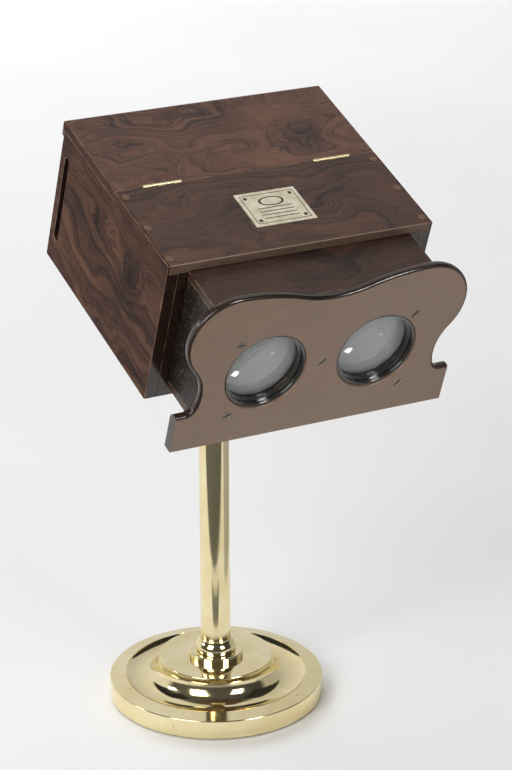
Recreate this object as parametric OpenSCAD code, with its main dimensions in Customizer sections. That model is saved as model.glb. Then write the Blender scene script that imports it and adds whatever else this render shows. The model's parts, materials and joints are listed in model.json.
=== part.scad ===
// Table stereoscope: a veneered viewing box with a sliding lens hood, tilting on a brass pillar.
// The stand's axis is Z and the table is z = 0. The box's width runs along X and its front faces -Y.
// Millimetres.

/* [Foot] */
// Diameter of the turned foot
foot_d = 151; // [130:1:190]
// Height of the foot's outer rim
rim_h = 14.5; // [11:0.5:18]
// Thickness of the rim's wall
rim_t = 9.5; // [7:0.5:14]
// Width of the ring on top of the rim
ring_w = 12; // [8:0.5:16]
// Rise of that ring towards the middle
ring_rise = 2; // [0.5:0.5:4]
// Radius of the hollow moulding between ring and plinth
scotia_r = 15.7; // [14.5:0.1:22]
// Thickness of the cast metal
foot_wall = 5; // [4:0.5:6.5]
// Diameter of the raised plinth
plinth_d = 80.6; // [66:0.2:90]
// Height of the plinth's top above the table
plinth_h = 29.5; // [26:0.5:36]
// Height of the plinth's straight edge
plinth_edge = 4; // [2:0.5:6]
// Thickness of the baize under the foot
baize_t = 1; // [0.5:0.25:2]
// Distance of the baize from the foot's edge
baize_inset = 2; // [1:0.5:4]

/* [Pillar] */
// Diameter of the pillar tube
pillar_d = 21; // [18:0.5:24]
// Wall of the pillar tube
pillar_wall = 1.95; // [1.2:0.05:3]
// Height of the pillar tube's top above the table
pillar_top = 208; // [170:1:260]
// Diameter of the knop's flange
knop_d = 39.2; // [34:0.2:50]
// Thickness of the knop's flange
knop_flange_h = 3.5; // [2:0.5:6]
// Diameter of the knop's bead
bead_d = 29; // [27:0.5:33]
// Radius of the bead's curve
bead_r = 6.5; // [5:0.5:8]
// Thickness of the knop's lip round the tube
knop_lip_t = 0.85; // [0.6:0.05:1.5]
// Height of the knop above the plinth
knop_h = 17.5; // [16:0.5:24]
// Depth of the tube's socket in the knop
socket_depth = 9; // [6:0.5:12]
// Diameter of the knop's spigot through the foot
knop_spigot_d = 16; // [12:0.5:18]
// Width of the nut under the foot, across its corners
nut_d = 30; // [26:1:40]
// Thickness of that nut
nut_h = 8; // [5:0.5:10]

/* [Height clamp] */
// Diameter of the collar
collar_d = 28; // [27:0.5:36]
// Height of the collar
collar_h = 24; // [22:1:34]
// Length of the collar over the tube
collar_lap = 10; // [6:0.5:11]
// Diameter of the clamp screw
clamp_d = 5; // [4:0.5:6]
// Length of the boss that takes the clamp screw
clamp_boss_l = 5; // [3:0.5:8]
// Wall of that boss
clamp_boss_wall = 2.5; // [2:0.25:3.5]
// Diameter of the clamp screw's head
clamp_head_d = 15; // [12:0.5:20]
// Thickness of the clamp screw's head
clamp_head_t = 6; // [4:0.5:9]

/* [Stem and fork] */
// Length of the stem inside the pillar
stem_in = 120; // [90:1:150]
// Length of stem showing above the collar
stem_show = 12.5; // [8:0.5:60]
// Wall of the stem's tube
stem_wall = 2; // [1.5:0.1:3]
// Length of the stem's solid end
stem_plug_l = 16; // [12:1:24]
// Diameter of the stem's spigot that carries the fork
swivel_d = 10; // [8:0.5:12]
// Height of the tilt pin above the fork's seat
fork_h = 26; // [24:0.5:36]
// Diameter of the fork's base
fork_base_d = 28; // [27.5:0.5:34]
// Thickness of the fork's base
fork_base_t = 10; // [8:0.5:12]
// Thickness of the web that holds the fork down
fork_web_t = 2; // [1.5:0.5:3]
// Diameter of the fork's screw
fork_screw_d = 5; // [4:0.5:5.5]
// Length of the fork's screw
fork_screw_l = 9; // [6:0.5:12]
// Diameter of the fork screw's head
fork_screw_head_d = 8; // [7:0.25:8]
// Thickness of the fork screw's head
fork_screw_head_t = 2.5; // [1.5:0.25:3]
// Thickness of each ear of the fork
ear_t = 5; // [4:0.5:6]
// Diameter of the ears' round ends
ear_d = 20; // [16:1:22]

/* [Tilt joint] */
// Lean of the box, front down
tilt = 20.9; // [0:0.1:35]
// Diameter of the tilt pin
pin_d = 6; // [4:0.5:8]
// Diameter of the tilt pin's head
pin_head_d = 12; // [9:0.5:16]
// Thickness of the tilt pin's head
pin_head_t = 3; // [2:0.5:5]
// Depth of the tilt pin below the box
pivot_drop = 40.5; // [36:0.5:52]
// Thickness of the bracket's tongue
tongue_t = 8; // [6:0.5:10]
// Length of the bracket's turned neck
neck_l = 18; // [14:0.5:20]
// Diameter of the bracket's neck
neck_d = 22; // [22:0.5:26]
// Radius of the hollow under the bracket's flange
neck_cove_r = 8; // [4:0.5:9]
// Diameter of the bracket's flange
flange_d = 56; // [54:1:70]
// Thickness of the bracket's flange
flange_t = 4; // [3:0.5:6]
// Circle of the flange's screws
flange_screw_circle = 44; // [44:1:46]
// Diameter of the tilt knob
knob_d = 22; // [18:0.5:30]
// Thickness of the tilt knob's rim
knob_t = 7; // [5:0.5:10]
// Thickness of the tilt knob's closed face
knob_face_t = 2; // [1:0.25:3]
// Length of the tilt knob's hub
knob_hub_l = 4; // [2:0.5:8]
// Number of flutes round each thumb knob
flutes = 24; // [12:2:36]

/* [Box] */
// Width of the box
case_w = 190; // [180:1:220]
// Depth of the box, without the lid's overhang
case_d = 157.6; // [150:0.2:190]
// Height of the box
case_h = 106.6; // [104:0.2:130]
// Thickness of the side boards
side_t = 8; // [7:0.5:10]
// Thickness of the bottom board
bottom_t = 7; // [6:0.5:9]
// Thickness of the front top and of the lid
top_t = 6.5; // [6:0.25:8]
// Thickness of the side boards' lip beside the front top
lip_t = 1.5; // [1:0.25:1.75]
// Depth of the front top, back to the lid's joint
seam_y = 80; // [78:0.5:90]
// Width of the joint between front top and lid
seam_gap = 0.5; // [0.3:0.1:0.8]
// Thickness of the guides beside the hood
guide_t = 7; // [5:0.5:9]
// Length of those guides
guide_l = 76; // [60:1:77]
// Diameter of the wooden plugs
plug_d = 5; // [4:0.25:5.25]
// Depth of the plugs
plug_l = 10; // [8:0.5:14]
// Distance of the plugs from the sides
plug_inset = 4.5; // [4.25:0.05:4.75]
// Distance of the end plugs from the front top's edges
plug_margin = 7.25; // [5:0.25:10]
// Length of the card slot in each side
slot_l = 67; // [40:1:72]
// Width of the card slot
slot_w = 6; // [5:0.5:7]
// Height of the card slot above the box's underside
slot_z = 17.5; // [14:0.5:24]
// Thickness of the card guides
card_guide_t = 5; // [3:0.5:7]
// Width of the card guides
card_guide_w = 6; // [4:0.5:8]
// Distance of the card guides and the back frame from the slot
card_play = 0.4; // [0.4:0.1:1.2]
// Width of the label plate
label_w = 43.5; // [30:0.5:60]
// Depth of the label plate
label_d = 34.5; // [25:0.5:50]
// Thickness of the label plate
label_t = 0.4; // [0.3:0.05:0.55]

/* [Back] */
// Thickness of the back frame
back_t = 6; // [5.5:0.5:9]
// Width of the back frame's stiles
stile_w = 14; // [10:0.5:20]
// Width of the back frame's rails
rail_w = 12; // [9:0.5:16]
// Width of the rebate for the glass
rebate_w = 4; // [3:0.5:6]
// Depth of that rebate
rebate_d = 4; // [3.75:0.25:5]
// Thickness of the ground glass
pane_t = 1.75; // [1.25:0.25:2]
// Thickness of the beads that hold it
bead_strip_t = 2; // [1:0.25:2.25]

/* [Lid] */
// Overhang of the lid behind the box
lid_overhang = 3.8; // [3:0.1:6]
// Height of the strip below the lid's overhang
lid_strip_h = 5; // [2:0.1:8]
// Radius of the lid's rear corners
lid_corner_r = 1.5; // [1:0.5:3]
// Radius of the lid's rounded rear edge
lid_round_r = 3; // [1:0.5:5]
// Distance of the reflector from the lid's sides
mirror_side = 20; // [14:0.5:40]
// Distance of the reflector from the lid's joint and from the back of the box
mirror_end = 9.7; // [9.5:0.1:20]
// Thickness of the reflector
mirror_t = 1.5; // [1:0.25:2.5]
// Length of each hinge
hinge_l = 27; // [20:0.5:36]
// Distance of each hinge's middle from the box's middle
hinge_x = 61.9; // [50:0.1:68]
// Diameter of the hinge knuckles
knuckle_d = 2.2; // [2:0.1:3]
// Number of knuckles in each hinge
knuckles = 5; // [3:2:7]
// Diameter of the hinge pins
hinge_pin_d = 1; // [0.8:0.1:1.2]
// Thickness of the hinge leaves
leaf_t = 0.9; // [0.7:0.05:1.2]
// Height of the hinge leaves
leaf_h = 5.2; // [4.6:0.1:5.4]
// Height of the hinge pins above the box's top
hinge_rise = 0.15; // [0.15:0.05:0.5]

/* [Hood] */
// Distance that the lens board stands out from the box
hood_out = 40.4; // [25:0.2:50]
// Length of the hood behind the lens board
hood_l = 76; // [70:1:77]
// Thickness of the hood's boards
hood_t = 5; // [4:0.5:6]
// Thickness of the partition between the eyes
septum_t = 4; // [3:0.5:6]
// Thickness of the lens carrier
carrier_t = 9; // [8.75:0.25:11]
// Thickness of the carrier's lip in front of the lenses
carrier_lip = 3; // [2:0.25:3.25]
// Thickness of the lens carrier left behind its screws
carrier_skin = 1.5; // [1:0.25:2]

/* [Lens board] */
// Distance by which the lens board's foot stands out past each side of the box
board_side = 4; // [0:0.5:12]
// Thickness of the board
board_t = 7.5; // [6.5:0.25:9]
// Distance of its lower edge below the box
board_drop = 3.5; // [1:0.5:8]
// Height of the foot's shoulders above the box's underside
shoulder_z = 24.5; // [20:0.5:28]
// Radius of the round ears
lobe_r = 32.3; // [30:0.1:33]
// Distance of each ear's centre from the middle
lobe_x = 67.3; // [65:0.1:70]
// Height of the ears' centres
lobe_z = 80; // [78:0.1:84]
// Radius of the waist below the ears
waist_r = 31.9; // [28:0.1:36]
// Height of the waist
waist_z = 39.3; // [37:0.1:41]
// Radius of the fillet from waist to shoulder
waist_fillet_r = 7; // [4:0.5:9]
// Depth of the dip between the ears
dip = 10.7; // [6:0.1:14]
// Radius of the crest from each ear to the dip
crest_r = 142; // [120:1:155]

/* [Lenses] */
// Distance between the lenses' centres
lens_spacing = 80; // [74:0.5:84]
// Height of the lenses' centres
lens_z = 48.8; // [47:0.1:51]
// Diameter of the holes in the lens board
eye_d = 57; // [56.5:0.5:58]
// Depth of the lens rims below the board's face
rim_set = 0.4; // [0:0.1:1.2]
// Width of the lens rims
rim_w = 2; // [1.5:0.1:2.4]
// Depth of the lens rims' inner step below the board's face
rim_step = 3.4; // [2.5:0.1:6]
// Clear opening of the lens rims
aperture_d = 51; // [46:0.2:52]
// Diameter of the lenses
lens_d = 54; // [53:0.5:55.5]
// Thickness of the lenses at their edge
lens_edge = 3; // [2:0.25:3.25]
// Radius of the lenses' faces
lens_roc = 177; // [120:1:260]
// Thickness of the rings that hold the lenses
lens_ring_t = 2; // [1.5:0.25:2.5]
// Distance of the outer screws from the middle
board_screw_x = 62.2; // [60:0.1:66]
// Height of the upper screws
board_screw_top = 75; // [72:0.5:80]
// Height of the lower screws
board_screw_low = 18.5; // [15:0.5:20.5]

/* [Screws] */
// Diameter of the wood screws' heads
screw_head_d = 6.4; // [5:0.1:7]
// Diameter of the wood screws' shanks
screw_d = 3.2; // [2.5:0.1:3.8]
// Length of the bracket's screws in the wood
screw_bite = 5; // [3:0.5:5.5]
// Diameter of the hinge screws' heads
hinge_screw_head_d = 2.6; // [2.2:0.1:3]
// Diameter of the hinge screws' shanks
hinge_screw_d = 1.4; // [1:0.1:1.8]
// Length of the hinge screws
hinge_screw_l = 7; // [4:0.5:9]

/* [Clearances] */
// Gap round a sliding piece, and between faces that pass each other
slide_gap = 0.3; // [0.2:0.05:0.4]
// Radial clearance of a turning or sliding shaft
run_gap = 0.05; // [0.02:0.01:0.1]
// Radial clearance of a piece that is fixed in a hole
fit_gap = 0.05; // [0.02:0.01:0.1]
// Gap under a flange or a lid that rests
rest_gap = 0.1; // [0.05:0.05:0.2]

/* [Hidden] */
$fn = 96;
wood_dark = "#4b2b20";
wood_hood = "#3d241b";
wood_board = "#6b4432";
wood_pale = "#8a684c";
brass = "#d9b96a";
steel = "#8d8f92";
black = "#262321";
cream = "#e9e0c6";
glass = "#d6e2e4";
silvered = "#e6eaec";
baize = "#3c4a38";

LEFT = -1;
RIGHT = 1;
SIDES = [LEFT, RIGHT];
// Length by which a cutter runs past the face that it cuts
over = 1;

// Stand
foot_r = foot_d / 2;
plinth_r = plinth_d / 2;
cove_ledge = 0.7;
plinth_low = plinth_h - plinth_edge;
ring_in_r = foot_r - ring_w;
foot_ceiling = plinth_h - foot_wall;
scotia_top = [plinth_r + cove_ledge, plinth_low];
scotia_foot = [ring_in_r, rim_h + ring_rise];
scotia_centre = arc_centre(scotia_top, scotia_foot, scotia_r);
pillar_r = pillar_d / 2;
stem_bore_r = pillar_r - pillar_wall;
stem_r = stem_bore_r - run_gap;
knop_top = plinth_h + knop_h;
socket_z = knop_top - socket_depth;
knop_spigot_r = knop_spigot_d / 2;
knop_spigot_l = foot_wall + nut_h + over;
bead_z = plinth_h + knop_flange_h + bead_r / 2;
collar_r = collar_d / 2;
collar_z = pillar_top - collar_lap;
collar_top = collar_z + collar_h;
clamp_z = (pillar_top + collar_top) / 2;
clamp_r = clamp_d / 2;
clamp_boss_end = collar_r + clamp_boss_l;
clamp_head_x = clamp_boss_end + rest_gap;
seat_z = collar_top + stem_show;
stem_foot = pillar_top - stem_in;
swivel_r = swivel_d / 2;
swivel_top = seat_z + fork_base_t - fork_web_t - rest_gap;
fork_floor = seat_z + rest_gap;
fork_base_top = seat_z + fork_base_t;
fork_screw_r = fork_screw_d / 2;
fork_screw_head_r = fork_screw_head_d / 2;
pivot_z = seat_z + fork_h;
ear_in = tongue_t / 2 + slide_gap;
ear_out = ear_in + ear_t;
ear_r = ear_d / 2;
pin_r = pin_d / 2;
knob_x = ear_out + rest_gap;
knob_end = knob_x + knob_hub_l + knob_t;
pin_end = knob_end - knob_face_t;

// Box, in its own frame: y is 0 at the front face, z is 0 at the underside
half_w = case_w / 2;
board_w = case_w + 2 * board_side;
inner_x = half_w - side_t;
guide_x = inner_x - guide_t;
top_z = case_h - top_t;
pivot_y = case_d / 2;
slot_back = case_d - back_t - card_play;
slot_front = slot_back - slot_w;
card_guide_back = slot_front - card_play;
front_top_end = seam_y - seam_gap / 2;
lid_front = seam_y + seam_gap / 2;
lid_back = case_d + lid_overhang;
lid_z = top_z + rest_gap;
plug_x = half_w - plug_inset;
plug_ys = [plug_margin, seam_y / 2, seam_y - plug_margin];
back_y = case_d - back_t;
sight_x = inner_x - stile_w;
sight_low = bottom_t + rail_w;
sight_top = top_z - rail_w;
pane_y = case_d - rebate_d;
pane_edge = rebate_w - fit_gap;
bead_front = pane_y + pane_t;
bead_back = bead_front + bead_strip_t;
mirror_x = half_w - mirror_side;
hinge_z = case_h + hinge_rise;
knuckle_r = knuckle_d / 2;
hinge_screw_z = case_h - leaf_h * 0.6;
hinge_screw_dx = hinge_l / 4;

// Hood and lenses
hood_w = guide_x - slide_gap;
hood_low = bottom_t + slide_gap;
hood_top = top_z - slide_gap;
hood_in_x = hood_w - hood_t;
hood_in_low = hood_low + hood_t;
hood_in_top = hood_top - hood_t;
hood_back = hood_l - hood_out;
board_back = -hood_out;
board_face = board_back - board_t;
carrier_back = board_back + carrier_t;
eye_x = lens_spacing / 2;
eye_r = eye_d / 2;
lens_r = lens_d / 2;
lens_fn = 1440;
lens_sag = bulge(lens_r);
aperture_r = aperture_d / 2;
lens_seat = lens_sag - bulge(aperture_r) + fit_gap;
lens_front = board_back + carrier_lip + lens_seat;
lens_ring_y = lens_front + lens_edge + lens_seat;
crown_z = lobe_z + lobe_r;
board_screws = [[-board_screw_x, board_screw_top], [board_screw_x, board_screw_top],
                [-board_screw_x, board_screw_low], [board_screw_x, board_screw_low], [0, lens_z]];
board_screw_l = board_t + carrier_t - carrier_skin;
screw_head_h = (screw_head_d - screw_d) / 2;
hinge_screw_head_h = (hinge_screw_head_d - hinge_screw_d) / 2;

// Waist, ear and crest arcs of the lens board's outline meet as tangents
waist_x = lobe_x + sqrt(pow(lobe_r + waist_r, 2) - pow(lobe_z - waist_z, 2));
neck_pt = [lobe_x, lobe_z] + (lobe_r / (lobe_r + waist_r)) * [waist_x - lobe_x, waist_z - lobe_z];
fillet_z = shoulder_z + waist_fillet_r;
fillet_x = waist_x - sqrt(pow(waist_r - waist_fillet_r, 2) - pow(waist_z - fillet_z, 2));
fillet_end_z = waist_z + (fillet_z - waist_z) * waist_r / (waist_r - waist_fillet_r);
dip_r = (lobe_x * lobe_x + dip * dip) / (2 * dip) - crest_r;
crest_x = lobe_x * dip_r / (dip_r + crest_r);

// Height of a lens's curved face between its middle and radius r
function bulge(r) = lens_roc - sqrt(lens_roc * lens_roc - r * r);

// Centre of the arc of radius r from a to b, on the side away from the axis and the table
function arc_centre(a, b, r) =
    let (mid = (a + b) / 2, chord = b - a, len = norm(chord))
    mid + sqrt(r * r - len * len / 4) * [-chord[1], chord[0]] / len;

// Places what is drawn in the box's own frame on the tilt pin
module in_box() {
    translate([0, 0, pivot_z])
        rotate([tilt, 0, 0])
            translate([0, -pivot_y, pivot_drop])
                children();
}

// A board between two opposite corners
module board(from, to) {
    translate(from) cube(to - from);
}

// A round rod along X, Y or Z from one place to another
module rod_x(r, from, to) {
    translate([from, 0, 0]) rotate([0, 90, 0]) cylinder(r = r, h = to - from);
}

module rod_y(r, from, to) {
    translate([0, from, 0]) rotate([-90, 0, 0]) cylinder(r = r, h = to - from);
}

module rod_z(r, from, to) {
    translate([0, 0, from]) cylinder(r = r, h = to - from);
}

// Countersunk screw pointing along -Z, its head flush with z = 0
module screw_body(head_d, d, length, grow = 0) {
    head_h = (head_d - d) / 2;
    translate([0, 0, -head_h]) cylinder(r1 = d / 2 + grow, r2 = head_d / 2 + grow, h = head_h);
    rod_z(d / 2 + grow, -length - grow, -head_h);
}

// Hole for such a screw
module screw_hole(head_d, d, length) {
    screw_body(head_d, d, length, fit_gap);
    rod_z(head_d / 2 + fit_gap, 0, over);
}

module slotted_screw(head_d, d, length) {
    slot_t = head_d / 6;
    difference() {
        screw_body(head_d, d, length);
        translate([-head_d, -slot_t / 2, -slot_t]) cube([2 * head_d, slot_t, 2 * slot_t]);
    }
}

// Flutes round a thumb knob whose axis is X
module knob_flutes(r, from, to) {
    flute_r = PI * r / flutes / 2;
    for (i = [0 : flutes - 1])
        rotate([i * 360 / flutes, 0, 0])
            translate([0, r + flute_r / 3, 0])
                rod_x(flute_r, from, to);
}

// Stand

module foot() {
    color(brass)
        rotate_extrude()
            difference() {
                polygon([[0, baize_t], [foot_r, baize_t], [foot_r, rim_h], scotia_foot, scotia_top,
                         [plinth_r, plinth_low], [plinth_r, plinth_h], [0, plinth_h]]);
                translate(scotia_centre) circle(r = scotia_r);
                difference() {
                    translate([-over, -over]) square([foot_r - rim_t + over, foot_ceiling + over]);
                    translate(scotia_centre) circle(r = scotia_r + foot_wall);
                }
                translate([-over, 0]) square([knop_spigot_r + fit_gap + over, plinth_h + over]);
            }
}

module foot_baize() {
    color(baize)
        rod_z(foot_r - baize_inset, 0, baize_t);
}

module base_nut() {
    color(brass)
        difference() {
            translate([0, 0, foot_ceiling - nut_h]) cylinder(d = nut_d, h = nut_h, $fn = 6);
            rod_z(knop_spigot_r + fit_gap, foot_ceiling - nut_h - over, foot_ceiling + over);
        }
}

module knop() {
    lip_r = pillar_r + fit_gap + knop_lip_t;
    color(brass)
        rotate_extrude()
            difference() {
                union() {
                    translate([0, plinth_h - knop_spigot_l]) square([knop_spigot_r, knop_spigot_l]);
                    translate([0, plinth_h]) square([knop_d / 2, knop_flange_h]);
                    translate([0, plinth_h]) square([lip_r, knop_h]);
                    intersection() {
                        translate([bead_d / 2 - bead_r, bead_z]) circle(r = bead_r);
                        translate([0, plinth_h]) square([bead_d, knop_h]);
                    }
                }
                translate([-over, socket_z]) square([pillar_r + fit_gap + over, socket_depth + over]);
            }
}

module pillar_tube() {
    color(brass)
        difference() {
            rod_z(pillar_r, socket_z, pillar_top);
            rod_z(stem_bore_r, socket_z - over, pillar_top + over);
        }
}

module pillar_collar() {
    color(brass)
        difference() {
            union() {
                rod_z(collar_r, collar_z, collar_top);
                translate([0, 0, clamp_z])
                    rod_x(clamp_r + clamp_boss_wall, stem_bore_r + over, clamp_boss_end);
            }
            rod_z(pillar_r + fit_gap, collar_z - over, pillar_top);
            rod_z(stem_bore_r, collar_z, collar_top + over);
            translate([0, 0, clamp_z]) rod_x(clamp_r + run_gap, 0, clamp_boss_end + over);
        }
}

module collar_screw() {
    head_r = clamp_head_d / 2;
    head_end = clamp_head_x + clamp_head_t;
    color(brass)
        translate([0, 0, clamp_z]) {
            rod_x(clamp_r, stem_bore_r + slide_gap, clamp_head_x);
            difference() {
                rod_x(head_r, clamp_head_x, head_end);
                knob_flutes(head_r, clamp_head_x - over, head_end + over);
            }
        }
}

module stem() {
    color(brass)
        difference() {
            union() {
                rod_z(stem_r, stem_foot, seat_z);
                rod_z(swivel_r, seat_z, swivel_top);
            }
            rod_z(stem_r - stem_wall, stem_foot - over, seat_z - stem_plug_l);
            rod_z(fork_screw_r + fit_gap, fork_base_top - fork_screw_l - over, swivel_top + over);
        }
}

module fork_screw() {
    head_z = fork_base_top + rest_gap;
    slot_t = 1;
    color(steel)
        difference() {
            union() {
                rod_z(fork_screw_r, fork_base_top - fork_screw_l, head_z);
                rod_z(fork_screw_head_r, head_z, head_z + fork_screw_head_t);
            }
            translate([-fork_screw_head_r, -slot_t / 2, head_z + fork_screw_head_t - slot_t])
                cube([2 * fork_screw_head_r, slot_t, slot_t + over]);
        }
}

module swivel_fork() {
    color(brass)
        difference() {
            union() {
                rod_z(fork_base_d / 2, fork_floor, fork_base_top);
                for (side = SIDES)
                    mirror([side == LEFT ? 1 : 0, 0, 0]) {
                        board([ear_in, -ear_r, fork_base_top - over], [ear_out, ear_r, pivot_z]);
                        translate([0, 0, pivot_z]) rod_x(ear_r, ear_in, ear_out);
                    }
            }
            rod_z(swivel_r + run_gap, fork_floor - over, swivel_top + rest_gap);
            rod_z(fork_screw_r + slide_gap, seat_z, fork_base_top + over);
            translate([0, 0, pivot_z]) rod_x(pin_r + fit_gap, -ear_out - over, ear_out + over);
        }
}

module tilt_pin() {
    slot_t = 1.2;
    color(steel)
        translate([0, 0, pivot_z])
            difference() {
                union() {
                    rod_x(pin_head_d / 2, -ear_out - pin_head_t, -ear_out);
                    rod_x(pin_r, -ear_out, pin_end);
                }
                translate([-ear_out - pin_head_t - over, -pin_head_d / 2, -slot_t / 2])
                    cube([slot_t + over, pin_head_d, slot_t]);
            }
}

module tilt_knob() {
    hub_end = knob_x + knob_hub_l;
    color(brass)
        translate([0, 0, pivot_z])
            difference() {
                union() {
                    rod_x(pin_head_d / 2, knob_x, hub_end);
                    difference() {
                        rod_x(knob_d / 2, hub_end, knob_end);
                        knob_flutes(knob_d / 2, hub_end - over, knob_end + over);
                    }
                }
                rod_x(pin_r + run_gap, knob_x - over, pin_end + rest_gap);
            }
}

// Flange, turned neck and flat tongue that hold the box on the tilt pin
module tilt_bracket() {
    neck_low = -flange_t - neck_l;
    cove_x = neck_d / 2 + neck_cove_r;
    color(brass)
        in_box()
            translate([0, pivot_y, 0])
                difference() {
                    union() {
                        rotate_extrude()
                            difference() {
                                union() {
                                    translate([0, -flange_t]) square([flange_d / 2, flange_t]);
                                    translate([0, neck_low]) square([neck_d / 2, neck_l + over]);
                                    translate([0, -flange_t - neck_cove_r])
                                        square([cove_x, neck_cove_r + over]);
                                }
                                translate([cove_x, -flange_t - neck_cove_r]) circle(r = neck_cove_r);
                            }
                        board([-tongue_t / 2, -ear_r, -pivot_drop], [tongue_t / 2, ear_r, neck_low + over]);
                        translate([0, 0, -pivot_drop]) rod_x(ear_r, -tongue_t / 2, tongue_t / 2);
                    }
                    translate([0, 0, -pivot_drop]) rod_x(pin_r + run_gap, -tongue_t, tongue_t);
                    bracket_screw_places() screw_hole(screw_head_d, screw_d, flange_t + screw_bite);
                }
}

module bracket_screw_places() {
    for (i = [0 : 3])
        rotate([0, 0, 45 + 90 * i])
            translate([flange_screw_circle / 2, 0, -flange_t])
                mirror([0, 0, 1])
                    children();
}

module bracket_screws() {
    color(steel)
        in_box()
            translate([0, pivot_y, 0])
                bracket_screw_places() slotted_screw(screw_head_d, screw_d, flange_t + screw_bite);
}

// Box

module bottom_board() {
    color(wood_dark)
        in_box()
            difference() {
                board([-inner_x, 0, 0], [inner_x, case_d, bottom_t]);
                translate([0, pivot_y, 0])
                    bracket_screw_places() screw_hole(screw_head_d, screw_d, flange_t + screw_bite);
            }
}

// Side with its lip beside the front top, the stopped card slot and the sockets of the plugs
module side_board(side) {
    slot_r = slot_w / 2;
    slot_mid = (slot_front + slot_back) / 2;
    color(wood_dark)
        in_box()
            mirror([side == LEFT ? 1 : 0, 0, 0])
                difference() {
                    union() {
                        board([inner_x, 0, 0], [half_w, case_d, top_z]);
                        board([half_w - lip_t, 0, 0], [half_w, front_top_end, case_h]);
                    }
                    board([inner_x - over, slot_front, slot_z + slot_r],
                          [half_w + over, slot_back, slot_z + slot_l - slot_r]);
                    for (z = [slot_z + slot_r, slot_z + slot_l - slot_r])
                        translate([0, slot_mid, z]) rod_x(slot_r, inner_x - over, half_w + over);
                    plug_places() rod_z(plug_d / 2 + fit_gap, case_h - plug_l, case_h);
                }
}

module side_board_left() side_board(LEFT);
module side_board_right() side_board(RIGHT);

// Places of the plugs on the right-hand side
module plug_places() {
    for (y = plug_ys)
        translate([plug_x, y, 0])
            children();
}

module front_top() {
    color(wood_dark)
        in_box()
            difference() {
                board([-half_w + lip_t, 0, top_z], [half_w - lip_t, front_top_end, case_h]);
                for (side = SIDES)
                    mirror([side == LEFT ? 1 : 0, 0, 0])
                        plug_places() rod_z(plug_d / 2 + fit_gap, top_z - over, case_h + over);
                hinge_recesses(-1);
            }
}

// Housings of both hinges in the edge of a board: facing -1 for the front top, 1 for the lid
module hinge_recesses(facing) {
    reach = hinge_l / 2 + slide_gap;
    for (side = SIDES)
        translate([side * hinge_x, seam_y, 0])
            mirror([0, facing == 1 ? 0 : 1, 0]) {
                board([-reach, -over, case_h - leaf_h], [reach, seam_gap / 2 + leaf_t, case_h + over]);
                translate([0, 0, hinge_z]) rod_x(knuckle_r + slide_gap, -reach, reach);
                hinge_screw_places() screw_hole(hinge_screw_head_d, hinge_screw_d, hinge_screw_l);
            }
}

module hinge_screw_places() {
    for (dx = [-hinge_screw_dx, hinge_screw_dx])
        translate([dx, seam_gap / 2, hinge_screw_z])
            rotate([90, 0, 0])
                children();
}

module top_plugs() {
    color(wood_pale)
        in_box()
            for (side = SIDES)
                mirror([side == LEFT ? 1 : 0, 0, 0])
                    plug_places() rod_z(plug_d / 2, case_h - plug_l, case_h);
}

module label_plate() {
    color(cream)
        in_box()
            translate([-label_w / 2, seam_y / 2 - label_d / 2, case_h])
                cube([label_w, label_d, label_t]);
}

module guide(side) {
    color(wood_dark)
        in_box()
            mirror([side == LEFT ? 1 : 0, 0, 0])
                board([guide_x, 0, bottom_t], [inner_x, guide_l, top_z]);
}

module guide_left() guide(LEFT);
module guide_right() guide(RIGHT);

module back_stile(side) {
    color(wood_dark)
        in_box()
            mirror([side == LEFT ? 1 : 0, 0, 0])
                difference() {
                    board([sight_x, back_y, bottom_t], [inner_x, case_d, top_z]);
                    board([sight_x - over, pane_y, bottom_t - over],
                          [sight_x + rebate_w, case_d + over, top_z + over]);
                }
}

module back_stile_left() back_stile(LEFT);
module back_stile_right() back_stile(RIGHT);

module back_rail_low() {
    color(wood_dark)
        in_box()
            difference() {
                board([-sight_x, back_y, bottom_t], [sight_x, case_d, sight_low]);
                board([-sight_x - over, pane_y, sight_low - rebate_w],
                      [sight_x + over, case_d + over, sight_low + over]);
            }
}

module back_rail_top() {
    color(wood_dark)
        in_box()
            difference() {
                board([-sight_x, back_y, sight_top], [sight_x, case_d, top_z]);
                board([-sight_x - over, pane_y, sight_top - over],
                      [sight_x + over, case_d + over, sight_top + rebate_w]);
            }
}

module ground_glass() {
    color(glass)
        in_box()
            board([-sight_x - pane_edge, pane_y, sight_low - pane_edge],
                  [sight_x + pane_edge, bead_front, sight_top + pane_edge]);
}

module upright_bead(side) {
    color(wood_dark)
        in_box()
            mirror([side == LEFT ? 1 : 0, 0, 0])
                board([sight_x, bead_front, sight_low - pane_edge],
                      [sight_x + pane_edge, bead_back, sight_top + pane_edge]);
}

module glazing_bead_left() upright_bead(LEFT);
module glazing_bead_right() upright_bead(RIGHT);

module glazing_bead_low() {
    color(wood_dark)
        in_box()
            board([-sight_x, bead_front, sight_low - pane_edge], [sight_x, bead_back, sight_low]);
}

module glazing_bead_top() {
    color(wood_dark)
        in_box()
            board([-sight_x, bead_front, sight_top], [sight_x, bead_back, sight_top + pane_edge]);
}

module card_guide(side) {
    color(wood_dark)
        in_box()
            mirror([side == LEFT ? 1 : 0, 0, 0])
                board([inner_x - card_guide_w, card_guide_back - card_guide_t, bottom_t],
                      [inner_x, card_guide_back, top_z]);
}

module card_guide_left() card_guide(LEFT);
module card_guide_right() card_guide(RIGHT);

// Lid and hinges

// The lid between two heights, with its rounded rear corners
module lid_slab(low, high) {
    corner_x = half_w - lid_corner_r;
    corner_y = lid_back - lid_corner_r;
    board([-half_w, lid_front, low], [half_w, corner_y, high]);
    board([-corner_x, lid_front, low], [corner_x, lid_back, high]);
    for (side = SIDES)
        translate([side * corner_x, corner_y, 0])
            rod_z(lid_corner_r, low, high);
}

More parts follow.
